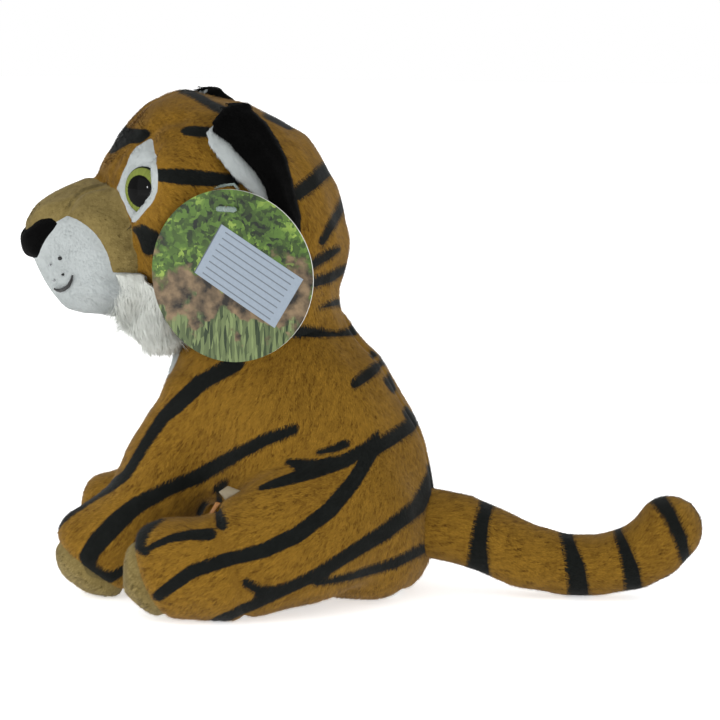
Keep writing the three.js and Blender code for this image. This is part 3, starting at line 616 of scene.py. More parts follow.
# The stripes, as runs of (across, down, width) in the photograph's pixels, on the tiger's left side.
front_stripe = [
    (237, 362, 17), (202, 381, 17), (178, 404, 16), (164, 417, 13), (148, 441, 11), (136, 460, 10),
    (127, 474, 10), (111, 486, 10), (93, 498, 8), (75, 510, 7), (63, 520, 6), (56, 530, 3),
]
long_stripe = [
    (294, 428, 11), (265, 439, 13), (232, 456, 14), (198, 476, 15), (168, 488, 15), (138, 504, 17),
    (119, 520, 19), (99, 541, 20), (88, 556, 17), (93, 570, 14), (111, 577, 11), (127, 567, 8),
]
hip_stripe = [
    (408, 426, 15), (390, 438, 16), (373, 450, 13), (352, 484, 15), (330, 510, 16), (298, 534, 17),
    (265, 550, 15), (232, 558, 14), (194, 570, 14), (160, 595, 12),
]
hip_branch = [
    (377, 432, 5), (369, 445, 11), (346, 460, 14), (320, 470, 14), (294, 478, 12), (274, 484, 9),
    (261, 488, 5),
]
hip_marks = [
    [(346, 443, 9), (334, 448, 8), (318, 452, 5)],
    [(288, 461, 6), (300, 464, 13), (318, 467, 16), (336, 462, 14)],
]
low_stripe = [
    (433, 474, 15), (417, 506, 17), (384, 532, 16), (352, 552, 14), (319, 573, 13), (287, 588, 12),
    (254, 604, 11), (217, 621, 9),
]
low_hook = [(247, 582, 9), (262, 590, 11), (287, 588, 10)]
seat_stripe = [(432, 543, 11), (395, 562, 11), (352, 575, 9), (316, 583, 5)]
back_stripes = [
    [(375, 367, 11), (366, 374, 13), (355, 383, 10)], [(357, 336, 4), (365, 341, 6), (373, 356, 6)],
    [(385, 379, 6), (393, 389, 7)], [(405, 411, 7), (412, 423, 6)], [(428, 464, 4), (430, 474, 6)],
]
foot_stripes = [
    [(163, 517, 8), (152, 522, 13), (143, 532, 15), (140, 544, 13), (147, 553, 6)],
    [(211, 534, 12), (190, 535, 10), (170, 539, 8), (155, 545, 6), (146, 550, 5)],
    [(220, 511, 9), (223, 523, 14)],
]
crease_marks = [
    [(226, 481, 7), (218, 488, 9)], [(219, 497, 6), (221, 502, 5)], [(206, 504, 8), (202, 512, 10)],
]
nape_mark = [(317, 308, 2), (327, 304, 6), (336, 301, 9)]
collar_stripe = [(296, 330, 13), (314, 331, 12), (334, 333, 7), (346, 332, 8), (355, 330, 10)]
torso_stripes = [
    collar_stripe, nape_mark, front_stripe, long_stripe, hip_stripe, hip_branch, low_stripe, seat_stripe,
    *back_stripes, *hip_marks, *crease_marks,
]
far_torso_stripes = [front_stripe[:6]] + [stripe for stripe in torso_stripes if stripe is not front_stripe]
hind_stripes = [hip_stripe, hip_branch, low_stripe, low_hook, seat_stripe, *foot_stripes, *hip_marks]


def side_place(points):
    """Where points lie in the photograph: the tiger's right side repeats its left in a mirror."""
    return picture_place(np.where(points[:, 1:2] > 0, points * (1, -1, 1), points))


body_hills = (0.8 * mm, 34 * mm)
body_swells = [
    (130, 446, 22, 1), (168, 380, 16, 3), (385, 360, 50, 1), (415, 430, 50, 2.2), (120, 592, 14, 2),
    (70, 588, 16, -1.5), (352, 322, 16, 1.5), (66, 518, 20, 3),
]
far_leg_swells = [(96, 478, 22, 6)]
crease_rounds = 70
flank_ahead = (-34 * mm, -14 * mm)
flank_height = (8 * mm, 24 * mm)
hip_blend = 16 * mm
shoulder_aside = (18 * mm, 28 * mm)
shoulder_height = (40 * mm, 60 * mm)
shoulder_blend = 12 * mm
floor_gap = 0.4 * mm
neck_height = 116 * mm
neck_overlap = 0.8
neck_draw = 0.6
neck_middle = np.array([-43, 0]) * mm

torso_shapes = [node_shape(node) for node in (
    "side_panel_left", "side_panel_right", "chest_belly_panel", "body_filling", "pellet_bag",
)]
front_leg_shapes = [limb_shape(front_leg_line, side) for side in (-1, 1)]
hind_leg_shapes = [limb_shape(hind_leg_line, side) for side in (-1, 1)]
body_points, body_faces = stuffed_form(torso_shapes + front_leg_shapes + hind_leg_shapes)
torso_reach = reach_of(body_points, torso_shapes)
front_reach = reach_of(body_points, front_leg_shapes)
hind_reach = reach_of(body_points, hind_leg_shapes)
front_share = np.minimum(torso_reach, hind_reach) - front_reach
hind_share = np.minimum(torso_reach, front_reach) - hind_reach
flank = ramp(body_points[:, 0], *flank_ahead) * ramp(body_points[:, 2], *flank_height)
shoulder = ramp(np.abs(body_points[:, 1]), *shoulder_aside) * ramp(body_points[:, 2], *shoulder_height)
ease = np.maximum(
    flank * np.exp(-(hind_share / hip_blend) ** 2), shoulder * np.exp(-(front_share / shoulder_blend) ** 2),
)
body_points = drawn_together(body_points, body_faces, [ease[:, None] * draw_in] * crease_rounds)
body_points = uneven(body_points, body_faces, *body_hills, seed=5)
body_points = filled_out(body_points, body_faces, body_swells, side_place(body_points))
far_side = np.where(body_points[:, 1:2] > 0, picture_place(body_points), 0)
body_points = filled_out(body_points, body_faces, far_leg_swells, far_side)
into_neck = np.maximum(body_points[:, 2] - neck_height, 0)
body_points[:, 2] += neck_overlap * into_neck
body_points[:, :2] -= neck_draw * into_neck[:, None] * unit(body_points[:, :2] - neck_middle)
body_points[:, 2] = np.maximum(body_points[:, 2], floor_gap)

chest_half_width = 16 * mm
chest_rear = -30 * mm
shoulder_seam = np.array([-62, 0, 54]) * mm
shoulder_way = np.array([-0.877, 0, -0.48])
hip_seam = -8 * mm
belly_line = [(20, 6), (0, 24), (-45, 64.5)]

body_marks = {"front": front_share, "hind": hind_share}
body_marks["side"] = body_points[:, 1]
below_shoulder = (body_points - shoulder_seam) @ shoulder_way
body_marks["front leg"] = np.minimum(front_share, below_shoulder)
body_marks["hind leg"] = np.minimum(hind_share, hip_seam - body_points[:, 0])
belly_outline = np.array([(-300, -50), (28, -50), *belly_line, (-45, 300), (-300, 300)]) * mm
belly = np.minimum(
    outline_field(body_points[:, [0, 2]], belly_outline), chest_half_width - np.abs(body_points[:, 1]),
)
chest_outline = [(100, 335), (179, 335), (174, 352), (166, 375), (158, 398), (150, 414), (100, 414)]
chest = field_in_picture(side_place(body_points), chest_outline)
belly = np.maximum(belly, np.minimum(chest, chest_rear - body_points[:, 0]))
body_marks["belly"] = np.minimum(belly, -np.maximum(front_share, hind_share))
front_sole_outline = np.array([
    (-104, -12.4), (-106.5, 2.5), (-108.4, 5.2), (-116.1, 11.5), (-125.5, 18.6), (-136.7, 25.7), (-164.6, 30),
    (-164.6, -12.4),
]) * mm
hind_sole_outline = np.array([
    (-76.9, -12.4), (-79.2, 2.5), (-87.5, 19.8), (-94.6, 37.2), (-127.6, 37.2), (-127.6, -12.4),
]) * mm
flat = body_points[:, [0, 2]]
body_marks["front sole"] = np.minimum(outline_field(flat, front_sole_outline), body_marks["front leg"])
body_marks["hind sole"] = np.minimum(outline_field(flat, hind_sole_outline), body_marks["hind leg"])
ankle_line = [(215, 500), (223, 547), (235, 563), (240, 587), (249, 640), (0, 640), (0, 500)]
ankle = field_in_picture(side_place(body_points), ankle_line)
body_marks["foot"] = np.minimum(ankle, hind_share)
for field in ("belly", "side", "front leg", "hind leg", "front sole", "hind sole", "foot"):
    body_points, body_faces, body_marks = cut_along(body_points, body_faces, body_marks, body_marks[field])
on = {field: values[body_faces].mean(axis=1) > 0 for field, values in body_marks.items()}
seams = np.where(on["side"], 2, 1)
seams[on["belly"]] = 0
seams[on["foot"]] += 10
seams[on["front sole"]] += 20
seams[on["hind sole"]] += 40
body_points, body_gap = sewn(body_points, body_faces, seams)
pieces = np.where(on["side"], 2, 1)
pieces[on["belly"]] = 0
for field, number in (("front leg", 10), ("hind leg", 20), ("front sole", 30), ("hind sole", 40)):
    pieces[on[field]] = number + np.where(on["side"][on[field]], 2, 1)

seam_cropped = 0.5
lay_reach = 15 * mm
torso_lay = np.array([-0.22, 0, -1])
front_lay_turn = np.array([-0.5, 0, 0.2])
hind_lay_turn = np.array([-0.8, 0, 0.25])
in_picture = side_place(body_points)
far_field = stripe_field(in_picture, far_torso_stripes)
on_torso = np.where(body_points[:, 1] > 0, far_field, stripe_field(in_picture, torso_stripes))
body_marks["stripe"] = np.where(body_marks["hind"] > 0, stripe_field(in_picture, hind_stripes), on_torso)
body_marks["long"] = 1 - seam_cropped * np.exp(-(body_gap / seam_reach) ** 2)
on_front = ramp(body_marks["front"], -lay_reach, lay_reach)[:, None]
on_hind = ramp(body_marks["hind"], -lay_reach, lay_reach)[:, None]
body_marks["lay"] = torso_lay + on_front * front_lay_turn + on_hind * hind_lay_turn
body_marks = {name: body_marks[name] for name in ("stripe", "long", "lay")}


def stands_for(piece, node, bodies):
    """The piece takes its CAD node's place, which is hidden; it rides on its body when it has one, and
    otherwise keeps its place in the world.
    """
    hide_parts(node)
    if len(bodies) == 1:
        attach(piece, bodies[0])
    else:
        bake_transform(piece)


def sewn_pieces(points, faces, marks, labels, made_of):
    """Each label's faces as a piece of its own, which stands for the CAD node of its name."""
    marks = {**marks, "normal": outward(points, faces)}
    for number, (label, node, material, slot, length, bodies) in enumerate(made_of):
        own_points, own_faces, own_marks = part_of(points, faces, marks, labels == label)
        normals = own_marks.pop("normal")
        lay = own_marks.pop("lay")
        piece = plush_piece(
            node + "_plush", own_points, own_faces, own_marks, lay, material, length,
            seed=11 + number, normals=normals,
        )
        stands_for(piece, node, bodies)


# At 0.42 the tan's stripe colour also lays a painted shade along the crease of the muzzle bridge's seam.
# The tan's darker root colour is painted shade deep in its pile.
tan_plush = plush_material("tan plush", (143, 126, 77), (71, 58, 25), striped=0.42, unevenness=0.6)
body_pile = 2.4 * mm
front_bend = ((-62 * mm, 0, 54 * mm), (-90 * mm, 0, 39 * mm))
hind_bend = ((-8 * mm, 0, 40 * mm), (-48 * mm, 0, 40 * mm))
body_pieces = [(0, "chest_belly_panel", white_plush, "white_plush", body_pile, ["torso"])]
for number, side in ((1, "left"), (2, "right")):
    front_leg, hind_leg = f"front_leg_{side}", f"hind_leg_{side}"
    body_pieces += [
        (number, f"side_panel_{side}", gold_plush, "gold_plush", body_pile, ["torso"]),
        (number + 10, f"front_leg_skin_{side}", gold_plush, "gold_plush", body_pile,
         ["torso", front_leg, *front_bend]),
        (number + 20, f"hind_leg_skin_{side}", gold_plush, "gold_plush", body_pile,
         ["torso", hind_leg, *hind_bend]),
        (number + 30, f"front_leg_sole_{side}", tan_plush, "tan_plush", 2 * mm, [front_leg]),
        (number + 40, f"hind_leg_sole_{side}", tan_plush, "tan_plush", 2 * mm, [hind_leg]),
    ]
sewn_pieces(body_points, body_faces, body_marks, pieces, body_pieces)

# Tail: one tube of the same striped plush, turned, stuffed and sewn into the back seam at the seat. It
# lies on the floor and curls up at its end.
tail_line = [
    (14.9, 0, 34, 15.5, 15.5), (31.9, 0, 33, 16.5, 16.5), (49, 0, 30.5, 16.5, 16.5),
    (61.9, 0, 25.4, 15.3, 15.3), (77.9, 0, 18.8, 14.9, 14.9), (95.9, 0, 15.5, 14.2, 14.2),
    (113, 0, 15.7, 14.2, 14.2), (127.5, 0, 19.2, 15, 15), (139, 0, 26, 15.4, 15.4),
    (145, 0, 33.5, 15.4, 15.4),
]
tail_hills = (0.5 * mm, 30 * mm)
tail_bands = [
    [(487, 498, 15), (481, 520, 15), (477, 545, 18), (477, 575, 24)],
    [(563, 528, 12), (568, 545, 14), (575, 570, 20), (578, 598, 22)],
    [(615, 528, 8), (622, 545, 12), (630, 570, 17), (634, 598, 19)],
    [(652, 492, 17), (668, 515, 15), (680, 540, 14), (687, 572, 9)],
]
tail_points, tail_faces = stuffed_form([limb_shape(tail_line, 1)])
tail_points = uneven(tail_points, tail_faces, *tail_hills, seed=9, depth=0)
tail_points[:, 2] = np.maximum(tail_points[:, 2], floor_gap)
tail_way = np.gradient(np.array(tail_line)[:, :3], axis=0)
tail_marks = {
    "stripe": stripe_field(side_place(tail_points), tail_bands),
    "lay": np.stack([np.interp(tail_points[:, 0] / mm, [row[0] for row in tail_line], tail_way[:, k])
                     for k in range(3)], axis=1),
}
tail_bend = ["torso", "tail", (32 * mm, 0, 30 * mm), (56 * mm, 0, 30 * mm)]
sewn_pieces(tail_points, tail_faces, tail_marks, np.zeros(len(tail_faces)), [
    (0, "tail_skin", gold_plush, "gold_plush", body_pile, tail_bend),
])


# Fillings: polyester fibre stuffs the body, each leg and the tail, and a bag of plastic pellets under it
# weighs down the seat. None of it shows.
filling_depth = 4 * mm
filling_cell = 4 * mm
filling_rounds = 6
tuck_rounds = 12
tuck_share = 0.88


def lumps_group():
    """Lumps of one scale with finer noise on them, darker where the noise is low."""
    tree, given, made = new_group("Lumps", {
        "Colour": "Color", "Shadow": "Color", "Scale": "Float", "Fine scale": "Float",
    }, {"Colour": "Color", "Height": "Float"})
    place = object_place(tree)
    lumps = joined(tree, "ShaderNodeTexVoronoi", {"Vector": place, "Scale": given["Scale"]})
    fine = noise(tree, place, given["Fine scale"], 4.0)
    tree.links.new(mixed(tree, fine, given["Shadow"], given["Colour"]), made["Colour"])
    tree.links.new(sum_of(tree, "ADD", lumps.outputs["Distance"], fine), made["Height"])
    return tree


loose_lumps = lumps_group()


def filling_material(name, colour, scale, strength):
    """Loose white fibre, pellets in thin cloth, or moulded white plastic."""
    material, tree, shader = new_material(name, {"Roughness": 0.9})
    lumps = joined(tree, "ShaderNodeGroup", {
        "Colour": dye(colour), "Shadow": dye([value * 0.8 for value in colour]), "Scale": scale,
        "Fine scale": scale * 3,
    }, node_tree=loose_lumps).outputs
    tree.links.new(lumps["Colour"], shader.inputs["Base Color"])
    bumped(tree, shader, lumps["Height"], 1 * mm, strength)
    return material


def tucked(points, skin, depth):
    """The points drawn in wherever they come closer than this depth to the skin's inside."""
    tree = BVHTree.FromPolygons(skin[0].tolist(), skin[1].tolist())
    kept = points.copy()
    for i, point in enumerate(points):
        place, normal = tree.find_nearest(Vector(point))[:2]
        if (Vector(point) - place).dot(normal) > -depth:
            kept[i] = place - normal * depth
    middle = kept.mean(axis=0)
    for i in list(range(len(kept))) * tuck_rounds:
        place, normal = tree.find_nearest(Vector(kept[i]))[:2]
        if (Vector(kept[i]) - place).dot(normal) > -depth / 2:
            kept[i] = middle + (kept[i] - middle) * tuck_share
    return kept


def plain_piece(name, points, faces, material, smooth=True):
    mesh = bpy.data.meshes.new(name)
    mesh.from_pydata(np.asarray(points).tolist(), [], [list(face) for face in faces])
    mesh.polygons.foreach_set("use_smooth", [smooth] * len(mesh.polygons))
    mesh.materials.append(material)
    mesh.update()
    piece = bpy.data.objects.new(name, mesh)
    bpy.context.scene.collection.objects.link(piece)
    return piece


def filling(node, skin, bodies, material):
    """A filling in the form of its CAD node, smoothed and kept inside its skin."""
    points, faces = stuffed_form([node_shape(node)], cell=filling_cell, rounds=filling_rounds)
    points = tucked(points, skin, filling_depth)
    piece = plain_piece(node + "_inside", points, faces, material)
    stands_for(piece, node, bodies)


fibre_filling = filling_material("fibre filling", (214, 214, 210), 180, 0.6)
pellet_filling = filling_material("pellets in cloth", (200, 202, 204), 330, 0.9)
body_skin = (body_points, body_faces)
filling("body_filling", body_skin, ["torso"], fibre_filling)
filling("pellet_bag", body_skin, ["torso"], pellet_filling)
filling("tail_filling", (tail_points, tail_faces), tail_bend, fibre_filling)
for leg in ("front_leg", "hind_leg"):
    for side in ("left", "right"):
        filling(f"{leg}_filling_{side}", body_skin, [f"{leg}_{side}"], fibre_filling)

# Head: gold plush sides that meet in a seam over the crown, a tan muzzle bridge and cheeks, a black nose,
# and white muzzle sides, chin and eye patches. It is sewn inside out, stuffed, and sewn to the neck with
# its face a little towards its left.
head_turn = math.radians(16)
neck_place = np.array([-45, 0, 0]) * mm
head_cell = 1.9 * mm
head_rounds = 9
muzzle_pile = 1.5 * mm
chin_height = 141 * mm
crown_depth = 1.6 * mm
brow_depth = 1.3 * mm
head_hills = (0.6 * mm, 30 * mm)
muzzle_taper = 0.3
muzzle_ahead = (72 * mm, 112 * mm)
muzzle_below = (-200 * mm, -180 * mm)
tan_lean = (3.5, 2)
white_lean = (1.5, 1)
patch_lean = (2, 1)
nose_ahead = -90 * mm
fluff_across = (84, 118)
fluff_down = (262, 282)
fluff_growth = 2.6
face_cropped = 0.4
face_lay = np.array([0.8, 0.15, -0.6])
rear_lay = np.array([-0.2, 0, -1])

# Outlines and stripes on its left side, in the photograph's pixels. The first run among the stripes is
# painted shade in the crease of the muzzle bridge's seam.
muzzle_outline = [
    (95.6, 176.8), (106.8, 183.8), (114.5, 189.4), (120.8, 196.5), (126.5, 204.9), (129.3, 211.9),
    (130.7, 220.3), (133.5, 234.3), (136.3, 248.4), (140.5, 256.8), (141.8, 270), (140.9, 275.6),
    (148.9, 280), (151.7, 292), (153, 330), (0, 330), (0, 150), (90, 160),
]
white_outline = [
    (51, 224), (67.5, 214.7), (76, 218.9), (85.8, 225.9), (94.2, 232.9), (101.2, 241.4), (106.8, 251.2),
    (110.3, 261), (113.6, 274), (140.9, 275.6), (148.9, 280), (151.7, 292), (153, 330), (0, 330),
    (0, 240), (40, 240),
]
bridge_outline = [
    (112, 183), (106.8, 184.8), (94.2, 187.3), (80.2, 192.2), (73.1, 199.3), (66.1, 213), (60, 224), (0, 240),
    (0, 150), (120, 150),
]
patch_outline = [
    (148.9, 136.8), (153.1, 138.2), (155.2, 150.2), (158, 164.2), (160.1, 178.2), (159.4, 192.2),
    (154.5, 203.5), (144.7, 214.7), (139.1, 221.7), (133.5, 224.5), (129.3, 214.7), (126.5, 204.9),
    (120.8, 196.5), (114.5, 189.4), (119.4, 181), (125.1, 169.8), (127.2, 158.6), (136.3, 145.9),
]
nose_outline = [
    (0, 230), (22, 229), (28, 225), (34, 219.5), (40, 217), (49.3, 216), (55.8, 221.6), (52.1, 228.7),
    (45.1, 237.1), (40.2, 247), (36.7, 255.4), (34.6, 259.6), (29.6, 261), (0, 263),
]
brow_seam = [(148, 133, 0), (164, 122, 0), (182, 119, 0)]
# Painted shade along the crease of the seam between the muzzle bridge and the cheeks, drawn as a thin stripe.
bridge_seam_shade = [
    (113, 182, 1), (104, 184, 2.4), (93, 186.5, 3), (82, 190, 3.2), (74, 197.5, 3), (68, 207, 2.4),
    (65, 213, 1),
]
head_stripes_and_seam_shade = [
    bridge_seam_shade,
    [(112, 149, 9), (118, 142, 14), (128, 136, 15), (139, 136, 14), (145, 134, 10)],
    [(135, 229, 6), (142, 231, 14), (149, 239, 22), (149, 247, 16)],
    [(160, 175, 13), (180, 176, 16), (205, 178, 16), (234, 180, 12)],
    [(184, 131, 8), (195, 131, 11), (208, 132, 10)],
    [(178, 91, 3), (190, 94, 7), (200, 99, 9), (212, 106, 9), (222, 110, 9)],
    [(265, 115, 6), (289, 127, 6)],
    [(296, 193, 15), (312, 181, 16), (327, 167, 16)],
    [(322, 241, 8), (331, 223, 10), (342, 203, 10), (343, 195, 6)],
    [(311, 264, 10), (327, 254, 11), (337, 248, 8)],
    [(314, 281, 12), (330, 276, 12), (346, 267, 8)],
    nape_mark, collar_stripe,
]
head_swells = [
    (150, 108, 45, -0.3), (325, 170, 55, 1.2), (345, 230, 35, 1.2), (65, 188, 30, -0.8), (48, 276, 20, 1.4),
    (60, 300, 25, 1), (345, 302, 24, -2.2), (98, 173, 12, 2.2), (146, 103, 16, 1.4), (214, 84, 22, -1.6),
    (112, 290, 15, 2.8), (26, 219, 9, -1), (26, 239, 11, 1.2),
]


def in_head(points):
    """Places in the head's own frame, which looks straight ahead."""
    reach = points - neck_place
    ahead = reach[:, 0] * math.cos(head_turn) + reach[:, 1] * math.sin(head_turn)
    aside = reach[:, 1] * math.cos(head_turn) - reach[:, 0] * math.sin(head_turn)
    return np.stack([ahead, aside, reach[:, 2]], axis=1)


def to_left(own):
    """Factors that take the right side of the head's own frame to its left."""
    return np.where(own[:, 1:2] > 0, (1, -1, 1), (1, 1, 1))


def from_head(points):
    """Places in the world, from those in the head's own frame."""
    x = points[:, 0] * math.cos(head_turn) - points[:, 1] * math.sin(head_turn)
    y = points[:, 1] * math.cos(head_turn) + points[:, 0] * math.sin(head_turn)
    return np.stack([x, y, points[:, 2]], axis=1) + neck_place


def face_place(points):
    """Where points lie in the photograph, with those of the head's right side mirrored to its left."""
    own = in_head(points)
    own[:, 1] = -np.abs(own[:, 1])
    return picture_place(from_head(own))


def face_field(points, outline, lean=(0, 0)):
    """Distance inside an outline on the face, moved against the pile that leans over its edge."""
    return field_in_picture(face_place(points) + lean, outline)


head_shapes = [node_shape(node) for node in (
    "head_side_left", "head_side_right", "muzzle_bridge", "muzzle_cheek_left", "muzzle_cheek_right",
    "muzzle_white_left", "muzzle_white_right", "chin_panel", "eye_patch_left", "eye_patch_right",
    "head_filling", "nose",
)]
head_points, head_faces = stuffed_form(head_shapes, cell=head_cell, rounds=head_rounds)
head_points = uneven(head_points, head_faces, *head_hills, seed=15)
own = in_head(head_points)
own[:, 1] *= 1 - muzzle_taper * ramp(-own[:, 0], *muzzle_ahead) * ramp(-own[:, 2], *muzzle_below)
head_points = from_head(own)
head_points = filled_out(head_points, head_faces, head_swells, face_place(head_points))
eye_centre = np.array([-60.9, -39.76, 194.3]) * mm
eye_way = np.array([-0.694, -0.72, 0])
eye_radius = 11 * mm
eye_sunk = 1.5 * mm
eye_back = 2 * mm
eye_height = 4.5 * mm
socket_depth = 1.5 * mm
socket_rise = 0.4 * mm
lid_rise = 4.3 * mm
lid_edge = (4 * mm, 7.5 * mm)
lid_lean = 0.9
lid_hold = (-18 * mm, -13 * mm)
lid_cuts = (0.3, 0.5, 0.7)
socket_reach = (13 * mm, 25 * mm)
far_below = -20 * mm
eye_rear = np.array([-eye_way[1], eye_way[0], 0])
eye_base = eye_centre + eye_rear * eye_back - eye_way * eye_sunk


def from_eye(points):
    """How far points lie behind each eye's middle, above it, out from it, and towards its lid's edge."""
    own = in_head(points)
    reach = own * to_left(own) - eye_base
    rearward = reach @ eye_rear
    return rearward, reach[:, 2], reach @ eye_way, rearward - lid_lean * np.minimum(reach[:, 2], 0)


# The cloth dips under each eye, meets its rim, and swells over its rear as a lid.
for share in lid_cuts:
    line = lid_edge[0] + (lid_edge[1] - lid_edge[0]) * share - from_eye(head_points)[3]
    head_points, head_faces = cut_along(head_points, head_faces, {}, line)[:2]
own = in_head(head_points)
rearward, above, height, lidward = from_eye(head_points)
across = np.hypot(rearward, above)
level = socket_rise - socket_depth * ramp(-across, -eye_radius, -eye_radius * 0.8)
level += (lid_rise - level) * ramp(lidward, *lid_edge)
near = ramp(-across, -socket_reach[1], -socket_reach[0]) * (height > far_below)
head_points = from_head(own + ((level - height) * near)[:, None] * eye_way * to_left(own))

head_marks = {"side": in_head(head_points)[:, 1]}
head_marks["muzzle"] = face_field(head_points, muzzle_outline, tan_lean)
white_field = face_field(head_points, white_outline, white_lean)
head_marks["white"] = np.minimum(white_field, head_marks["muzzle"])
head_marks["bridge"] = np.minimum(
    face_field(head_points, bridge_outline), np.minimum(head_marks["muzzle"], -head_marks["white"]),
)
patch_field = face_field(head_points, patch_outline, patch_lean)
head_marks["patch"] = np.minimum(patch_field, -head_marks["muzzle"])
head_marks["chin"] = np.minimum(head_marks["white"], chin_height - head_points[:, 2])
nose_field = face_field(head_points, nose_outline)
head_marks["nose"] = np.minimum(nose_field, nose_ahead - in_head(head_points)[:, 0])
for field in ("side", "muzzle", "white", "bridge", "patch", "chin", "nose"):
    head_points, head_faces, head_marks = cut_along(head_points, head_faces, head_marks, head_marks[field])
on = {field: values[head_faces].mean(axis=1) > 0 for field, values in head_marks.items()}
head_labels = np.where(on["side"], 2, 1)
for field, number in (("patch", 10), ("muzzle", 20), ("white", 30)):
    head_labels[on[field]] = number + np.where(on["side"][on[field]], 2, 1)
head_labels[on["bridge"]] = 40
head_labels[on["nose"]] = 60
rearward, above, height = from_eye(head_points)[:3]
near_eye = ramp(-np.hypot(rearward, above), *lid_hold) * (height > far_below)
head_points, head_gap = sewn(head_points, head_faces, head_labels, depth=crown_depth * (1 - near_eye))
head_labels[on["chin"]] = 50
head_labels[on["nose"]] = 60
brow_gap = stripe_field(face_place(head_points), [brow_seam]) * mm
brow_valley = brow_depth * np.exp(-(brow_gap / seam_reach) ** 2)
head_points -= outward(head_points, head_faces) * brow_valley[:, None]

spot = face_place(head_points)
fluff = ramp(spot[:, 0], *fluff_across) * ramp(spot[:, 1], *fluff_down)
fluff *= ramp(head_marks["white"], 0, 3 * mm)
head_marks = {"stripe": stripe_field(spot, head_stripes_and_seam_shade)}
head_marks["long"] = 1 - face_cropped * np.exp(-(head_gap / seam_reach) ** 2)
head_marks["long"] *= 1 + fluff_growth * fluff
to_rear = ramp(in_head(head_points)[:, 0], -40 * mm, 40 * mm)[:, None]
head_marks["lay"] = face_lay * (1 - to_rear) + rear_lay * to_rear
black = (5, 5, 5)
black_plush = plush_material("black plush", black, black, unevenness=0.1, sheen=0.01, gloss=0.03)
head_pieces = [
    (60, "nose", black_plush, "black_plush", 1.2 * mm, ["head"]),
    (40, "muzzle_bridge", tan_plush, "tan_plush", muzzle_pile, ["head"]),
    (50, "chin_panel", white_plush, "white_plush", muzzle_pile, ["head"]),
]
for number, side in ((1, "left"), (2, "right")):
    head_pieces += [
        (number, f"head_side_{side}", gold_plush, "gold_plush", body_pile, ["head"]),
        (number + 10, f"eye_patch_{side}", white_plush, "white_plush", muzzle_pile, ["head"]),
        (number + 20, f"muzzle_cheek_{side}", tan_plush, "tan_plush", muzzle_pile, ["head"]),
        (number + 30, f"muzzle_white_{side}", white_plush, "white_plush", muzzle_pile, ["head"]),
    ]
sewn_pieces(head_points, head_faces, head_marks, head_labels, head_pieces)
filling("head_filling", (head_points, head_faces), ["head"], fibre_filling)

# Ears: a black plush back and a white plush lining, sewn edge to edge and turned. Each ear is set into a
# seam at the side of the head.
pad_cell = 1.3 * mm
pad_rounds = 6
edge_rows = 50
row_reach = 3
narrow_width = (4, 20)


def spread(points, left_edge, right_edge=None):
    """An ear's points moved across the picture until its edges run through these (across, down) places."""
    place = face_place(points)
    rows = np.linspace(place[:, 1].min(), place[:, 1].max(), edge_rows)
    bands = [place[np.abs(place[:, 1] - row) < row_reach, 0] for row in rows]
    left = np.interp(place[:, 1], rows, [band.min() for band in bands])
    right = np.interp(place[:, 1], rows, [band.max() for band in bands])
    across, down = zip(*left_edge)
    new_left = np.interp(place[:, 1], down, across)
    new_right = right
    if right_edge is not None:
        across, down = zip(*right_edge)
        new_right = np.interp(place[:, 1], down, across)
    share = (place[:, 0] - left) / (right - left + 1)
    wanted = new_left + share * (new_right - new_left)
    move = (wanted - place[:, 0]) * ramp(right - left, *narrow_width) / pixels_per_mm * mm
    own = in_head(points)
    across = in_head((neck_place + picture_right)[None])[0]
    return from_head(own + move[:, None] * across * to_left(own))


def small_pad(node, body, material, slot, length, lay, shape, depth=0.6 * mm, length_share=None, **pile):
    """One closed pad of plush in the form of its CAD node."""
    points, faces = stuffed_form([node_shape(node)], cell=pad_cell, rounds=pad_rounds)
    points = shape(points)
    points = points - outward(points, faces) * depth
    marks = {"stripe": np.full(len(points), 9.0)}
    if length_share is not None:
        marks["long"] = length_share(points)
    lays = np.tile(lay, (len(points), 1))
    piece = plush_piece(node + "_plush", points, faces, marks, lays, material, length, **pile)
    stands_for(piece, node, [body])


ear_back_left = [
    (220, 112), (212, 121), (212, 132), (227, 142), (237, 154), (253, 171), (263, 187), (268, 204),
    (296, 232),
]
ear_back_right = [
    (256, 111), (270, 123), (281, 142), (288, 156), (293, 176), (298, 200), (302, 216), (301, 232),
]
lining_left = [
    (240, 103), (228, 112), (216, 122), (205, 132), (207, 144), (220, 163), (232, 178), (246, 190),
    (262, 205), (296, 232),
]
far_ear_move = np.array([-5, -3.6, 3]) * mm
for side, ear_move in (("left", 0 * far_ear_move), ("right", far_ear_move)):
    body = f"ear_{side}"
    small_pad(
        f"ear_back_{side}", body, black_plush, "black_plush", 2 * mm, (0.3, 0, -1), depth=0.2 * mm,
        shape=lambda points: spread(points, ear_back_left, ear_back_right) + ear_move,
        gap=0.5 * mm, seed=63,
    )
    small_pad(
        f"ear_lining_{side}", body, white_plush, "white_plush", 1.6 * mm, (0.3, 0, -1),
        shape=lambda points: spread(points, lining_left) + ear_move, gap=0.5 * mm, seed=65,
    )

# Chin beard: a small pad of cloth with long white pile, sewn on below the cheeks so that its tuft hangs
# from the chin.
beard_white = (201, 204, 198)
# The beard's root colour is painted shade deep in its long pile.
beard_root_shade = (190, 193, 186)
beard_left = [(114, 277), (112, 295), (113, 314), (119, 328), (136, 342)]
beard_right = [(150, 277), (162, 295), (172, 318), (186, 338)]
beard_edge = 9
beard_sunk = 3 * mm
beard_lowered = 1.6 * mm
beard_top = (268, 283)
beard_hung = (268, 290)
beard_growth = (278, 306)
beard_free = (300, 320)
beard_plush = plush_material("long white pile", beard_white, beard_root_shade, unevenness=0.15)


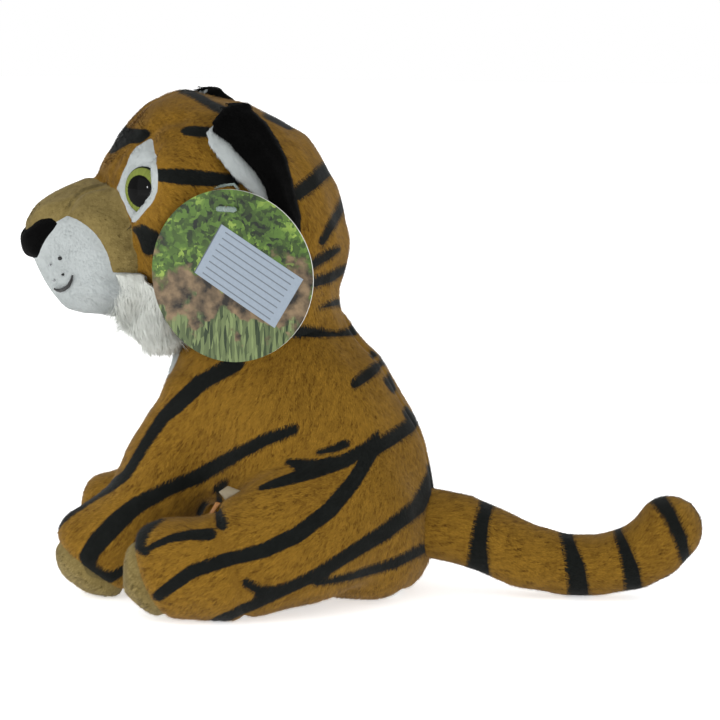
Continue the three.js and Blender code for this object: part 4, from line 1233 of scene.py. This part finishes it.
def beard_form(points):
    """The tuft within its edges in the picture, with its front edge sunk into the muzzle's pile."""
    points = spread(points, beard_left, beard_right)
    place = face_place(points)
    across, down = zip(*beard_left)
    inside = place[:, 0] - np.interp(place[:, 1], down, across)
    at_front = (1 - ramp(inside, 0, beard_edge)) * (1 - ramp(place[:, 1], *beard_free))
    sunk = beard_sunk * np.maximum(at_front, 1 - ramp(place[:, 1], *beard_top))
    own = in_head(points)
    own[:, 1] -= np.sign(own[:, 1]) * sunk
    own[:, 2] -= beard_lowered * (1 - ramp(place[:, 1], *beard_hung))
    return from_head(own)


def beard_length(points):
    """Short at the top of the tuft, where it runs out of the muzzle's pile, and long below."""
    return 0.3 + 0.7 * ramp(face_place(points)[:, 1], *beard_growth)


small_pad(
    "chin_beard", "head", beard_plush, "beard_pile", 9 * mm, (0.12, 0, -1), gap=0.8 * mm, width=0.7 * mm,
    shape=beard_form, length_share=beard_length, pull=0.3, tuft=3 * mm, depth=0.5 * mm, seed=67,
)

# Eyes: clear plastic domes with a green iris and a large black pupil behind them, on a stem that is
# locked by a washer inside the head.
eye_steps = 14
eye_sides = 64
eye_rim_rise = -0.3
eye_top_rise = math.pi / 2 * 0.985
pupil_share = 0.66
iris_share = 0.93


def eye_material():
    material, tree, shader = new_material("clear eye plastic", {
        "Roughness": 0.4, "Specular IOR Level": 0.0, "Coat Weight": 0.15, "Coat Roughness": 0.03,
    })
    reach = mark_of(tree, "reach")
    streaks = noise(tree, mark_of(tree, "turn", "Vector"), 9.0, 3.0)
    wander = sum_of(tree, "MULTIPLY", sum_of(tree, "SUBTRACT", streaks, 0.5), 0.05)
    iris = mixed(tree, streaks, dye((64, 80, 30)), dye((134, 142, 68)))
    edge = sum_of(tree, "ADD", reach, wander)
    colour = mixed(tree, graded(tree, edge, pupil_share - 0.01, pupil_share + 0.02), dye((3, 3, 3)), iris)
    colour = mixed(tree, graded(tree, reach, iris_share, iris_share + 0.03), colour, dye((20, 24, 18)))
    tree.links.new(colour, shader.inputs["Base Color"])
    return material


eye_plastic = eye_material()
for side, way in (("left", 1), ("right", -1)):
    axis = eye_way * (1, way, 1)
    across = np.cross([0, 0, 1], axis)
    turns = np.arange(eye_sides) / eye_sides * 2 * math.pi
    ring = np.outer(np.cos(turns), across) + np.outer(np.sin(turns), [0, 0, 1])
    rises = np.linspace(eye_rim_rise, eye_top_rise, eye_steps)
    base = eye_base * (1, way, 1)
    points = [base + axis * eye_height * math.sin(t) + ring * eye_radius * math.cos(t) for t in rises]
    points = from_head(np.concatenate(points + [(base + axis * eye_height)[None]]))
    faces = walls(eye_steps - 1, eye_sides)
    top = (eye_steps - 1) * eye_sides
    faces += [(top + i, top + (i + 1) % eye_sides, top + eye_sides) for i in range(eye_sides)]
    if way < 0:
        faces = [face[::-1] for face in faces]
    eye = plain_piece(f"eye_{side}_dome", points, faces, eye_plastic)
    reach = np.append(np.repeat(np.cos(rises), eye_sides), 0)
    give_mark(eye.data, "reach", reach)
    angle = np.append(np.tile(turns, eye_steps), 0)
    turn = np.stack([np.cos(angle), np.sin(angle), np.zeros(len(angle))], axis=1) * (reach > 0)[:, None]
    give_mark(eye.data, "turn", turn)
    stands_for(eye, f"eye_{side}", ["head"])

# Eye washers: discs moulded in white plastic and pushed over the eyes' stems inside the head. They keep
# the form of their CAD nodes.
washer_plastic = filling_material("white washer plastic", (220, 220, 216), 900, 0.05)
for side in ("left", "right"):
    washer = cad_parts[f"eye_washer_{side}"]
    washer.data.materials.clear()
    washer.data.materials.append(washer_plastic)

# Mouth and whisker marks: a smile in black satin stitch, and small knots of black and of pale grey thread
# on each side, all stitched through the white plush of the muzzle.
thread_radius = 0.55 * mm
thread_lift = 1.1 * mm
knot_rises = np.array([0, 0.8, 1.2, 1.5]) * mm
knot_shares = np.array([1, 1, 0.75, 0.2])
muzzle_place = np.array([-140, -25, 150]) * mm
smile = [(56, 287.5), (58.5, 289), (62, 289.6), (66.1, 288), (70, 284.5), (72.5, 279.5), (73.6, 275)]
whisker_dots = [(60.5, 258.2, 0.9), (63.5, 274.5, 0.55)]
faint_dots = [(51, 264.5, 0.5), (55, 280, 0.5)]
head_tree = BVHTree.FromPolygons(head_points.tolist(), head_faces.tolist())


def on_face(across, down):
    """The place on the head that a pixel of the photograph shows, and the way out from it."""
    far = place_on_plane(across, down, muzzle_place, toward_camera)
    way = Vector(far - camera_place).normalized()
    place, normal = head_tree.ray_cast(Vector(camera_place), way)[:2]
    if place is None:
        place, normal = head_tree.find_nearest(Vector(far))[:2]
    return np.array(place), np.array(normal)


def strands_group():
    """The strands of a twisted thread, with painted shade between them and lighter along them."""
    tree, given, made = new_group(
        "Thread strands", {"Dark": "Color", "Light": "Color"}, {"Colour": "Color", "Height": "Float"},
    )
    strands = joined(tree, "ShaderNodeTexWave", {
        "Vector": object_place(tree), "Scale": 420.0, "Distortion": 2.0,
    }).outputs["Fac"]
    tree.links.new(mixed(tree, strands, given["Dark"], given["Light"]), made["Colour"])
    tree.links.new(strands, made["Height"])
    return tree


thread_strands = strands_group()


def thread_material(name, colour):
    material, tree, shader = new_material(name, {"Roughness": 0.5})
    strands = joined(tree, "ShaderNodeGroup", {
        "Dark": dye([value * 0.7 for value in colour]), "Light": dye(colour),
    }, node_tree=thread_strands).outputs
    tree.links.new(strands["Colour"], shader.inputs["Base Color"])
    bumped(tree, shader, strands["Height"], 0.3 * mm)
    return material


def tube(path, radii, sides=10):
    """A round thread or stem along a path of points."""
    path = np.array(path)
    along = unit(np.gradient(path, axis=0))
    guide = unit(np.cross(along, [0.3, 0.2, 0.9]))
    other = np.cross(along, guide)
    turns = np.arange(sides) / sides * 2 * math.pi
    rings = [place + radius * (np.outer(np.cos(turns), a) + np.outer(np.sin(turns), b))
             for place, radius, a, b in zip(path, radii, guide, other)]
    faces = [tuple(range(sides))[::-1], tuple(range((len(path) - 1) * sides, len(path) * sides))]
    return np.concatenate(rings), walls(len(path) - 1, sides) + faces


def together(parts):
    """Several shapes as one."""
    first = np.cumsum([0] + [len(points) for points, faces in parts])
    faces = [tuple(index + start for index in face)
             for (points, own), start in zip(parts, first) for face in own]
    return np.concatenate([points for points, own in parts]), faces


def mirrored_face(points):
    return from_head(in_head(np.asarray(points)) * (1, -1, 1))


black_thread = thread_material("black thread", (26, 26, 26))
grey_thread = thread_material("pale grey thread", (186, 190, 192))
fine_smile = []
for (x0, y0), (x1, y1) in zip(smile, smile[1:]):
    fine_smile += [(x0 + (x1 - x0) * share, y0 + (y1 - y0) * share) for share in (0, 0.25, 0.5, 0.75)]
fine_smile.append(smile[-1])
smile_path, smile_way = zip(*[on_face(*spot) for spot in fine_smile])
smile_path = np.array(smile_path) + np.array(smile_way) * thread_lift
smile_radii = thread_radius * (0.6 + 1.0 * np.sin(np.linspace(0.1, 3.0, len(smile_path))))
marks = [("smile", tube(smile_path, smile_radii), black_thread)]
for name, dots, thread in (
    ("whisker_knots", whisker_dots, black_thread), ("faint_knots", faint_dots, grey_thread),
):
    knots = []
    for across, down, radius in dots:
        place, way = on_face(across, down)
        knots.append(tube([place + way * rise for rise in knot_rises], knot_shares * radius * mm))
    marks.append((name, together(knots), thread))
for name, (points, faces), thread in marks:
    for side in ("left", "right"):
        if side == "right":
            points, faces = mirrored_face(points), [face[::-1] for face in faces]
        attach(plain_piece(f"{name}_{side}", points, faces, thread), "head")


# Hang tag: a round printed card with a punched hole, slightly bent, laminated on its front. Its print is
# plain foliage over earth and rocks, with grass along its lower edge.
tag_middle = np.array([-47.55, -73.4, 159.0]) * mm
tag_way = np.array([-0.2079, -0.9781, 0])
tag_right = np.array([0.9781, -0.2079, 0])
tag_radius = 38.7 * mm
tag_thickness = 0.7 * mm
tag_hole = np.array([-1.7, 29.9]) * mm
tag_hole_radius = 1.5 * mm
tag_bend = 1.2 * mm
tag_upright_bend = 0.6
leaf_end = (6 * mm, -2 * mm)
grass_start = (-19 * mm, -23 * mm)
tag_sides = 128
tag_rings = 14


def on_tag(flat, lift):
    """A place on the bent card, from its place across and up on the card and its height over its middle."""
    upright_bend = tag_bend * tag_upright_bend
    bend = -tag_bend * (flat[:, 0] / tag_radius) ** 2 + upright_bend * (flat[:, 1] / tag_radius) ** 2
    upward = np.outer(flat[:, 1], [0, 0, 1])
    return tag_middle + np.outer(flat[:, 0], tag_right) + upward + np.outer(bend + lift, tag_way)


def both_layers(flat):
    """Flat places with a height of zero, for a sheet's front points and then for its back ones."""
    return np.pad(np.concatenate([flat, flat]), ((0, 0), (0, 1)))


def fibres_group():
    """The fine grain of card."""
    tree, given, made = new_group("Card fibres", {"Scale": "Float"}, {"Fibre": "Float"})
    fibres = joined(tree, "ShaderNodeTexNoise", {"Scale": given["Scale"], "Detail": 3.0})
    tree.links.new(fibres.outputs["Fac"], made["Fibre"])
    return tree


card_fibres = fibres_group()


def printed_foliage(tree):
    """Leaves in many greens above, brown earth and grey rocks in the middle, and blades of grass below."""
    place = mark_of(tree, "card", "Vector")
    stir = joined(tree, "ShaderNodeTexNoise", {"Vector": place, "Scale": 160.0, "Detail": 4.0})
    stirred = mixed(tree, 0.012, place, stir.outputs["Color"])
    leaf = joined(tree, "ShaderNodeTexVoronoi", {"Vector": stirred, "Scale": 420.0})
    clump = noise(tree, place, 70.0, 5.0)
    shade = joined(tree, "ShaderNodeSeparateColor", {"Color": leaf.outputs["Color"]}).outputs["Red"]
    light = sum_of(tree, "ADD", sum_of(tree, "MULTIPLY", shade, 0.55), clump)
    light = graded(tree, light, 0.45, 1.15)
    leaves = mixed(tree, light, dye((8, 18, 8)), dye((82, 114, 40)))
    leaves = mixed(tree, graded(tree, light, 0.75, 1.0), leaves, dye((124, 146, 62)))
    grain = graded(tree, noise(tree, place, 120.0, 8.0), 0.38, 0.62)
    earth = mixed(tree, grain, dye((24, 20, 14)), dye((122, 102, 76)))
    upward = joined(tree, "ShaderNodeSeparateXYZ", {"Vector": place}).outputs["Y"]
    wave = sum_of(tree, "MULTIPLY", sum_of(tree, "SUBTRACT", clump, 0.5), 0.09)
    level = sum_of(tree, "ADD", upward, wave)
    colour = mixed(tree, graded(tree, level, *leaf_end), leaves, earth)
    drawn = joined(tree, "ShaderNodeVectorMath", {0: place, 1: (1.0, 0.16, 1.0)}, operation="MULTIPLY")
    blades = joined(tree, "ShaderNodeTexVoronoi", {"Vector": drawn.outputs[0], "Scale": 900.0})
    tint = joined(tree, "ShaderNodeSeparateColor", {"Color": blades.outputs["Color"]}).outputs["Green"]
    grass = mixed(tree, tint, dye((18, 36, 14)), dye((112, 126, 80)))
    return mixed(tree, graded(tree, level, *grass_start), colour, grass)


def printed_card():
    """Laminated card with its print."""
    material, tree, shader = new_material("printed card", {
        "Roughness": 0.35, "Specular IOR Level": 0.2, "Coat Weight": 0.12, "Coat Roughness": 0.15,
    })
    fibres = joined(tree, "ShaderNodeGroup", {"Scale": 900.0}, node_tree=card_fibres).outputs["Fibre"]
    tree.links.new(printed_foliage(tree), shader.inputs["Base Color"])
    bumped(tree, shader, fibres, 0.03 * mm)
    return material


def plain_card():
    material, tree, shader = new_material("plain card", {"Roughness": 0.7})
    fibres = joined(tree, "ShaderNodeGroup", {"Scale": 900.0}, node_tree=card_fibres).outputs["Fibre"]
    colour = mixed(tree, fibres, dye((206, 206, 200)), dye((222, 222, 218)))
    tree.links.new(colour, shader.inputs["Base Color"])
    return material


turns = np.arange(tag_sides) / tag_sides * 2 * math.pi
rays = np.stack([np.cos(turns), np.sin(turns)], axis=1)
along = -(rays @ tag_hole)
reach = along + np.sqrt(along ** 2 + tag_radius ** 2 - tag_hole @ tag_hole)
steps = np.linspace(0, 1, tag_rings + 1)[:, None, None]
flat = (tag_hole + rays * (tag_hole_radius + steps * (reach[:, None] - tag_hole_radius))).reshape(-1, 2)
half = tag_thickness / 2
tag_points = np.concatenate([on_tag(flat, half), on_tag(flat, -half)])
layer = len(flat)
tag_faces = []
for a, b, c, d in walls(tag_rings, tag_sides):
    tag_faces += [(a, d, c, b), (layer + b, layer + c, layer + d, layer + a)]
front_faces = len(tag_faces)
rim = tag_rings * tag_sides
for i in range(tag_sides):
    following = (i + 1) % tag_sides
    tag_faces += [
        (rim + i, layer + rim + i, layer + rim + following, rim + following),
        (following, layer + following, layer + i, i),
    ]
tag = plain_piece("hang_tag_card", tag_points, tag_faces, printed_card())
tag.data.materials.append(plain_card())
sides = [index % 2 for index in range(front_faces)] + [1] * (len(tag_faces) - front_faces)
tag.data.polygons.foreach_set("material_index", sides)
tag.data.polygons.foreach_set("use_smooth", [False] * len(tag_faces))
give_mark(tag.data, "card", both_layers(flat))
stands_for(tag, "hang_tag", ["hang_tag"])

# Tag sticker: a white paper label, glued on the front of the tag at a slant. It is plain but for a few
# faint ruled lines and a dark edge.
sticker_size = np.array([45, 26]) * mm
sticker_middle = np.array([8.2, 0.4]) * mm
sticker_turn = math.radians(-31)
sticker_lift = 0.12 * mm
line_gap = 3.1 * mm
line_width = 0.6 * mm
line_half = 0.42 * sticker_size[0]
dark_edge = 0.5 * mm - sticker_size[0] / 2
ink = (40, 44, 50)


def sticker_material():
    material, tree, shader = new_material("sticker paper", {"Roughness": 0.55})
    place = mark_of(tree, "paper", "Vector")
    parts = joined(tree, "ShaderNodeSeparateXYZ", {"Vector": place}).outputs
    fibres = noise(tree, place, 700.0, 3.0)
    paper = mixed(tree, fibres, dye((118, 130, 142)), dye((134, 145, 157)))
    row = sum_of(tree, "MODULO", sum_of(tree, "ADD", parts["Y"], 1.0), line_gap)
    ruled = sum_of(tree, "LESS_THAN", row, line_width)
    inside = sum_of(tree, "LESS_THAN", sum_of(tree, "ABSOLUTE", parts["X"], 0.0), line_half)
    ruled = sum_of(tree, "MULTIPLY", sum_of(tree, "MULTIPLY", ruled, inside), 0.6)
    colour = mixed(tree, ruled, paper, dye(ink))
    edge = sum_of(tree, "LESS_THAN", parts["X"], dark_edge)
    colour = mixed(tree, sum_of(tree, "MULTIPLY", edge, 0.8), colour, dye(ink))
    tree.links.new(colour, shader.inputs["Base Color"])
    return material


def sheet_faces(columns, rows):
    """The faces on the front of a grid of points, and those on its rim, which join it to a second grid."""
    layer = columns * rows
    corners = [row * columns + column for row in range(rows - 1) for column in range(columns - 1)]
    front = [(a, a + 1, a + 1 + columns, a + columns) for a in corners]
    edge = [*range(columns), *range(2 * columns - 1, layer, columns)]
    edge += [*range(layer - 2, layer - columns - 1, -1), *range(layer - 2 * columns, 0, -columns)]
    return front, [(b, a, layer + a, layer + b) for a, b in zip(edge, edge[1:] + edge[:1])]


columns, rows = 25, 15
grid = np.meshgrid(np.linspace(-0.5, 0.5, columns), np.linspace(-0.5, 0.5, rows))
paper = np.stack(grid, axis=-1).reshape(-1, 2) * sticker_size
turned = np.stack([
    paper[:, 0] * math.cos(sticker_turn) - paper[:, 1] * math.sin(sticker_turn),
    paper[:, 0] * math.sin(sticker_turn) + paper[:, 1] * math.cos(sticker_turn),
], axis=1) + sticker_middle
sticker_points = np.concatenate([on_tag(turned, half + sticker_lift), on_tag(turned, half * 0.5)])
front, rim = sheet_faces(columns, rows)
sticker = plain_piece("tag_sticker_paper", sticker_points, front + rim, sticker_material(), smooth=False)
give_mark(sticker.data, "paper", both_layers(paper))
stands_for(sticker, "tag_sticker", ["hang_tag"])

# Tag pin: a thin filament of clear plastic, moulded in one with the bars at its ends. It was shot through
# the tag's hole into the head, and its front bar holds the tag.
pin_line = [
    (213, 190, -22), (215, 188.5, -13), (220, 186.5, -8), (227, 185, -5.5), (234, 184.3, -4.2),
    (238, 189, -3.2), (236, 198, -2.5), (229, 206, -1.5), (226.5, 209, 0), (226.3, 209.3, 2.2),
]
pin_thickness = 0.7 * mm
bar_half = 5 * mm
bar_radius = 1.3 * mm


def clear_plastic_material():
    material, tree, shader = new_material("clear plastic", {"Roughness": 0.2, "Alpha": 0.5})
    cloud = joined(tree, "ShaderNodeTexNoise", {"Scale": 600.0, "Detail": 2.0})
    colour = mixed(tree, cloud.outputs["Fac"], dye((120, 140, 134)), dye((146, 160, 154)))
    tree.links.new(colour, shader.inputs["Base Color"])
    return material


pin_path = [
    place_on_plane(across, down, tag_middle + tag_way * ahead * mm, tag_way)
    for across, down, ahead in pin_line
]
bar_middle = pin_path[-1]
shares = np.linspace(-1, 1, 15)
bar_path = [bar_middle + tag_right * bar_half * share for share in shares]
bar_radii = [bar_radius * math.sqrt(max(1 - abs(share) ** 8, 0.05)) for share in shares]
pin_points, pin_faces = together([
    tube(pin_path, [pin_thickness] * len(pin_path), sides=12), tube(bar_path, bar_radii, sides=12),
])
pin = plain_piece("tag_pin_filament", pin_points, pin_faces, clear_plastic_material())
stands_for(pin, "tag_pin", ["head"])

# Care label: a tab of pale satin, folded and caught in the seam over the left thigh, with a sliver of
# orange ribbon beside it.
label_middle = np.array([-46, -59.5, 58]) * mm
label_way = np.array([-0.1, -0.93, 0.35])
label_corners = [(219, 492), (228, 486), (244, 492), (228, 503.5)]
ribbon_corners = [(216, 502), (221, 503), (213, 515), (208, 516)]
label_half = 0.45 * mm
label_bulge = 1.2 * mm
ribbon_bulge = 0.4 * mm
tab_steps = 8


def satin_group():
    """The fine parallel threads of satin with painted shade between them, a little faded in places."""
    tree, given, made = new_group(
        "Satin weave", {"Dark": "Color", "Light": "Color"}, {"Colour": "Color", "Height": "Float"},
    )
    place = object_place(tree)
    threads = joined(tree, "ShaderNodeTexWave", {"Vector": place, "Scale": 900.0, "Distortion": 0.6})
    fade = noise(tree, place, 140.0, 2.0)
    share = sum_of(tree, "MULTIPLY", sum_of(tree, "ADD", threads.outputs["Fac"], fade), 0.5)
    tree.links.new(mixed(tree, share, given["Dark"], given["Light"]), made["Colour"])
    tree.links.new(threads.outputs["Fac"], made["Height"])
    return tree


satin_weave = satin_group()


def satin_material(name, dark, light):
    material, tree, shader = new_material(name, {"Roughness": 0.35, "Sheen Weight": 0.2})
    weave = joined(
        tree, "ShaderNodeGroup", {"Dark": dye(dark), "Light": dye(light)}, node_tree=satin_weave,
    ).outputs
    tree.links.new(weave["Colour"], shader.inputs["Base Color"])
    bumped(tree, shader, weave["Height"], 0.05 * mm)
    return material


def folded_tab(corners, bulge):
    """A thin tab with its two layers, between four places of the photograph, bulged in its middle."""
    corner = [place_on_plane(across, down, label_middle, label_way) for across, down in corners]
    points = []
    for lift in (label_half, -label_half):
        for v in np.linspace(0, 1, tab_steps + 1):
            for u in np.linspace(0, 1, tab_steps + 1):
                upper = (1 - u) * corner[0] + u * corner[1]
                flat = (1 - v) * upper + v * ((1 - u) * corner[3] + u * corner[2])
                rise = bulge * math.sin(math.pi * u) * math.sin(math.pi * v)
                points.append(flat + label_way * (lift + rise))
    front, rim = sheet_faces(tab_steps + 1, tab_steps + 1)
    layer = len(points) // 2
    faces = []
    for face in front:
        faces += [face, tuple(layer + index for index in face[::-1])]
    return points, faces + rim


satin = satin_material("satin", (112, 100, 74), (134, 122, 96))
label = plain_piece("care_label_tab", *folded_tab(label_corners, label_bulge), satin)
stands_for(label, "care_label", ["torso"])
orange_satin = satin_material("orange satin", (126, 78, 12), (158, 102, 26))
ribbon = plain_piece("label_ribbon", *folded_tab(ribbon_corners, ribbon_bulge), orange_satin)
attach(ribbon, "torso")

# Studio: a pale seamless floor that gives off a little light, an even pale surround, three large soft
# lights from above, from behind and from low in front, and a small one for the highlight in the eye.
floor_half = 3000 * mm
floor_white = (0.96, 0.96, 0.96, 1)
light_white = (1, 1, 1, 1)
floor_corners = [(x * floor_half, y * floor_half, 0) for x, y in ((-1, -1), (1, -1), (1, 1), (-1, 1))]
floor_material = new_material("pale floor", {
    "Base Color": floor_white, "Emission Color": light_white, "Emission Strength": 0.6, "Roughness": 0.9,
})[0]
plain_piece("floor", floor_corners, [(0, 1, 2, 3)], floor_material, smooth=False)

surround = bpy.data.worlds.new("surround")
surround.use_nodes = True
background = surround.node_tree.nodes["Background"]
background.inputs["Color"].default_value = light_white
background.inputs["Strength"].default_value = 1.0
bpy.context.scene.world = surround
bpy.context.scene.view_settings.view_transform = "Standard"


def soft_light(name, place, power, size):
    data = bpy.data.lights.new(name, "AREA")
    data.energy = power
    data.size = size
    light = bpy.data.objects.new(name, data)
    light.location = place
    light.rotation_euler = (Vector(aim) - Vector(place)).to_track_quat("-Z", "Y").to_euler()
    bpy.context.scene.collection.objects.link(light)


soft_light("key light", (-0.5, -1.1, 1.3), 2.8, 0.7)
soft_light("fill light", (0.9, -0.9, 0.7), 2, 0.9)
soft_light("low light", (-0.8, -0.6, 0.2), 0.8, 0.6)
soft_light("eye light", (-0.93, -0.92, 0.26), 1.6, 0.07)
